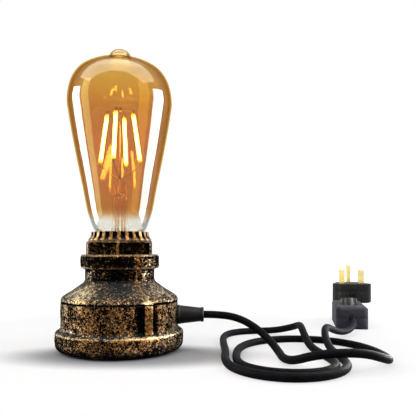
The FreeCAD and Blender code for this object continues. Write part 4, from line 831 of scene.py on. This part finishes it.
def stem():
    """Flared glass tube, drawn in and pinched shut at its top, with the leads sealed in it."""
    neck, top = level("bulb_glass", 0), level("bulb_stem", 1)
    shape = outline([
        (10.3, neck), (11.3, neck), (8.7, neck + 2.4, 4), (6.2, neck + 5.4, 5), (4.9, neck + 10, 8),
        (4.9, top - 9, 8), (3.3, top - 3, 3), (1.4, top, 0.6), (0, top), (0, top - 9), (3.9, top - 13, 2),
        (3.9, neck + 9.6, 8), (5.3, neck + 4.6, 5), (7.9, neck + 1.8, 3)])
    piece("stem_tube", "clear_glass", turned(shape, full_turn(72)), "bulb", ["bulb_stem"], sharp=60)


def filament_rod(run, steer, low, lump_seed):
    """A rod of phosphor silicone, slightly lumpy and drawn in at its ends."""
    length = run.length
    shape = [(0, 0), (0.75, 0.02), (1.0, 0.25)]
    shape += [(1.1, 0.5 + step * 0.5) for step in range(int(length * 2) - 1)]
    shape += [(1.0, length - 0.25), (0.75, length - 0.02), (0, length)]
    points, faces = turned(shape, full_turn(20))
    lumpy = []
    for point in points:
        here = Vector(point)
        lump = 1 + 0.07 * noise.noise(here * 0.9 + lump_seed)
        lumpy.append(low + steer @ Vector((here.x * lump, here.y * lump, here.z)))
    return lumpy, faces


def filaments():
    """Four lit filaments that lean in to a hub, each between two end clips, and the wires that hold
    them from the top of the stem."""
    top = level("bulb_stem", 1)
    low_ring, high_ring, foot_ring = 12.8, 8.4, 4
    clip, wire, pole, hub_radius = 0.9, 0.32, 0.35, 1.3
    hub = UP * (FILAMENT_HIGH + 3.2)
    rods, wires = [], []
    for index in range(4):
        turn = math.radians(FILAMENT_TURN + 90 * index)
        side = Vector((math.cos(turn), math.sin(turn), 0))
        low = side * low_ring + UP * FILAMENT_LOW
        high = side * high_ring + UP * FILAMENT_HIGH
        foot = side * foot_ring + UP * top
        run = (high - low).normalized()
        rods.append(filament_rod(high - low, run.to_track_quat("Z", "Y"), low, side * 40))
        wires += [straight(high, high + run * 2.2, clip), straight(low - run * 2.2, low, clip),
                  straight(high + run * 1.8, hub, wire), straight(low - run * 1.8, foot, wire),
                  straight(foot, UP * (top - 2.5), wire)]
    wires += [straight(UP * (top - 2), hub + UP * 0.8, pole),
              straight(hub - UP * 1.4, hub + UP * 0.9, hub_radius)]

    def from_end(point):
        """How far along a filament a point is from the nearer end, as a share of its height."""
        return min(point.z - FILAMENT_LOW, FILAMENT_HIGH - point.z) / (FILAMENT_HIGH - FILAMENT_LOW)

    piece("led_filament_rods", "led_phosphor", together(rods), "bulb", ["led_filaments"],
          marks={"along": from_end}, sharp=60)
    piece("filament_mount", "nickel_wire", together(wires), "bulb", ["filament_supports"])


def leads():
    """Four lead wires that run up the stem and lean together towards its top."""
    neck, top = level("bulb_glass", 0), level("bulb_stem", 1)
    lean, radius = 0.8, 0.6
    wires = [straight(Vector((x, 0, neck - 4.8)), Vector((x * lean, 0, top - 2)), radius)
             for x in (-3.1, -1.25, 1.25, 3.1)]
    made = piece("sealed_leads", "nickel_wire", together(wires), "bulb", ["lead_in_wires"])
    made.data.materials[0] = finishes["copper_wire"]


# ---------------------------------------------------------------- gland
def cord_gland():
    """Tapered strain relief with a flanged foot and a chamfered rim at its tip."""
    seat, tip, axis_height = 35.3, 52, 21.5
    bore, shank, length = 2.35, 4.9, tip - seat
    shape = outline([(bore, -12), (shank, -12), (shank, 0.2), (6.0, 0.2, 0.3), (6.0, 1.6, 0.2), (5.75, 1.8),
                     (4.25, length - 1.9, 0.4), (4.55, length - 1.5, 0.2), (4.55, length - 0.5, 0.3),
                     (4.0, length, 0.2), (2.9, length, 0.2), (bore, length - 0.6)], 0.5)
    along_x = Matrix.Translation(Vector((seat, 0, axis_height)) * MM)
    along_x @= Matrix.Rotation(math.radians(90), 4, "Y")
    piece("tapered_gland", "gland_moulding", turned(shape, full_turn(64)), "base", ["cord_gland"],
          place=along_x)


# ---------------------------------------------------------------- cords
CORD = 0.0046
LYING = 0.00235
# Where each cord runs. A point without a height lies on the table, with the cord's middle LYING high.
LAMP_LEAD = [
    (0.052, 0, 0.0215), (0.0635, 0, 0.0215), (0.0755, -0.0014, 0.0188), (0.0855, -0.0065, 0.013),
    (0.092, -0.016, 0.0072), (0.095, -0.0275, 0.0034), (0.0956, -0.0395), (0.0992, -0.0512, 0.0036),
    (0.1076, -0.061, 0.0084), (0.1198, -0.0662, 0.0108), (0.133, -0.0658, 0.0104),
    (0.1444, -0.059, 0.0064), (0.151, -0.0474, 0.0032), (0.1535, -0.033), (0.152, -0.015),
    (0.146, 0.003), (0.133, 0.0175), (0.1145, 0.024), (0.096, 0.0205), (0.0815, 0.009),
    (0.0732, -0.0085), (0.0704, -0.028), (0.07, -0.0465), (0.0734, -0.06), (0.083, -0.0702),
    (0.0966, -0.0744), (0.1102, -0.0714), (0.1196, -0.0608), (0.122, -0.046), (0.1195, -0.028),
    (0.116, -0.01, 0.0034), (0.1154, 0.0035, 0.0076), (0.1158, 0.017, 0.0108), (0.117, 0.0305, 0.0108),
    (0.1134, 0.0434, 0.007), (0.104, 0.0532, 0.0034), (0.091, 0.0574), (0.0776, 0.054),
    (0.0684, 0.044), (0.0648, 0.029), (0.0643, 0.007), (0.065, -0.018), (0.0636, -0.041),
    (0.066, -0.0595), (0.0752, -0.074), (0.09, -0.082), (0.1065, -0.0805), (0.1195, -0.071),
    (0.127, -0.056), (0.128, -0.037), (0.1265, -0.018, 0.0032), (0.1268, -0.004, 0.0068),
    (0.129, 0.009, 0.0108), (0.1336, 0.0215, 0.0108), (0.1415, 0.0325, 0.0062),
    (0.1506, 0.0426, 0.0036), (0.159, 0.0534, 0.0048), (0.16431, 0.06634, 0.008),
    (0.166564, 0.079141, 0.008),
]
PLUG_LEAD = [
    (0.176636, 0.136259, 0.008), (0.17872, 0.14808, 0.008), (0.1824, 0.1604, 0.0056),
    (0.1886, 0.1726, 0.0032), (0.1964, 0.1846), (0.2036, 0.1984), (0.2094, 0.2134, 0.0026),
    (0.2142, 0.2282, 0.0044), (0.2178, 0.2416, 0.0078), (0.220641, 0.255071, 0.01), (0.222, 0.268, 0.01),
]


def cord(name, points, stands_for):
    """A round PVC cord that follows its own smooth line."""
    line = bpy.data.curves.new(name, "CURVE")
    line.dimensions = "3D"
    line.bevel_depth = CORD / 2
    line.bevel_resolution = 6
    line.resolution_u = 10
    line.use_fill_caps = True
    spline = line.splines.new("NURBS")
    spline.points.add(len(points) - 1)
    for target, point in zip(spline.points, points):
        target.co = (*(*point, LYING)[:3], 1)
    spline.order_u = 3
    spline.use_endpoint_u = True
    line.materials.append(finishes["cord_jacket"])
    made = bpy.data.objects.new(name, line)
    scene.collection.objects.link(made)
    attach(made, "base")
    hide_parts(stands_for)


base_casting()
hex_bushing()
fluted_ring()
envelope()
stem()
filaments()
leads()
cord_gland()

# Moulded shells that keep their CAD shape with rounded edges: CAD node, piece, rounding, body and
# the edges that are rounded more, which are the plug's front and back.
SHELLS = [
    ("switch_upper_case", "switch_cover", 0.3, "base", []),
    ("switch_lower_case", "switch_tray", 0.3, "base", []),
    ("switch_rocker", "rocker_cap", 0.35, "rocker", []),
    ("plug_base", "plug_shell", 0.4, "base", [(lambda middle: middle.z > 21.5, 1.6, 4)]),
    ("plug_cover", "plug_back", 0.4, "base", [(lambda middle: middle.z < 0.5, 2.0, 4)]),
]
for node, name, width, body, rims in SHELLS:
    softened(name, node, width, body, rims)

PIECE_OF = {row[0]: row[1] for row in SHELLS}
PLUG_PARTS = [PIECE_OF.get(name, name) for name in nodes
              if name.startswith(("plug_", "cord_grip", "fuse_")) and name != "plug_lead"]
PLUG_PARTS += ["earth_pin", "live_pin", "neutral_pin"]
cord("lamp_cord", LAMP_LEAD, "lamp_lead")
cord("plug_cord", PLUG_LEAD, "plug_lead")
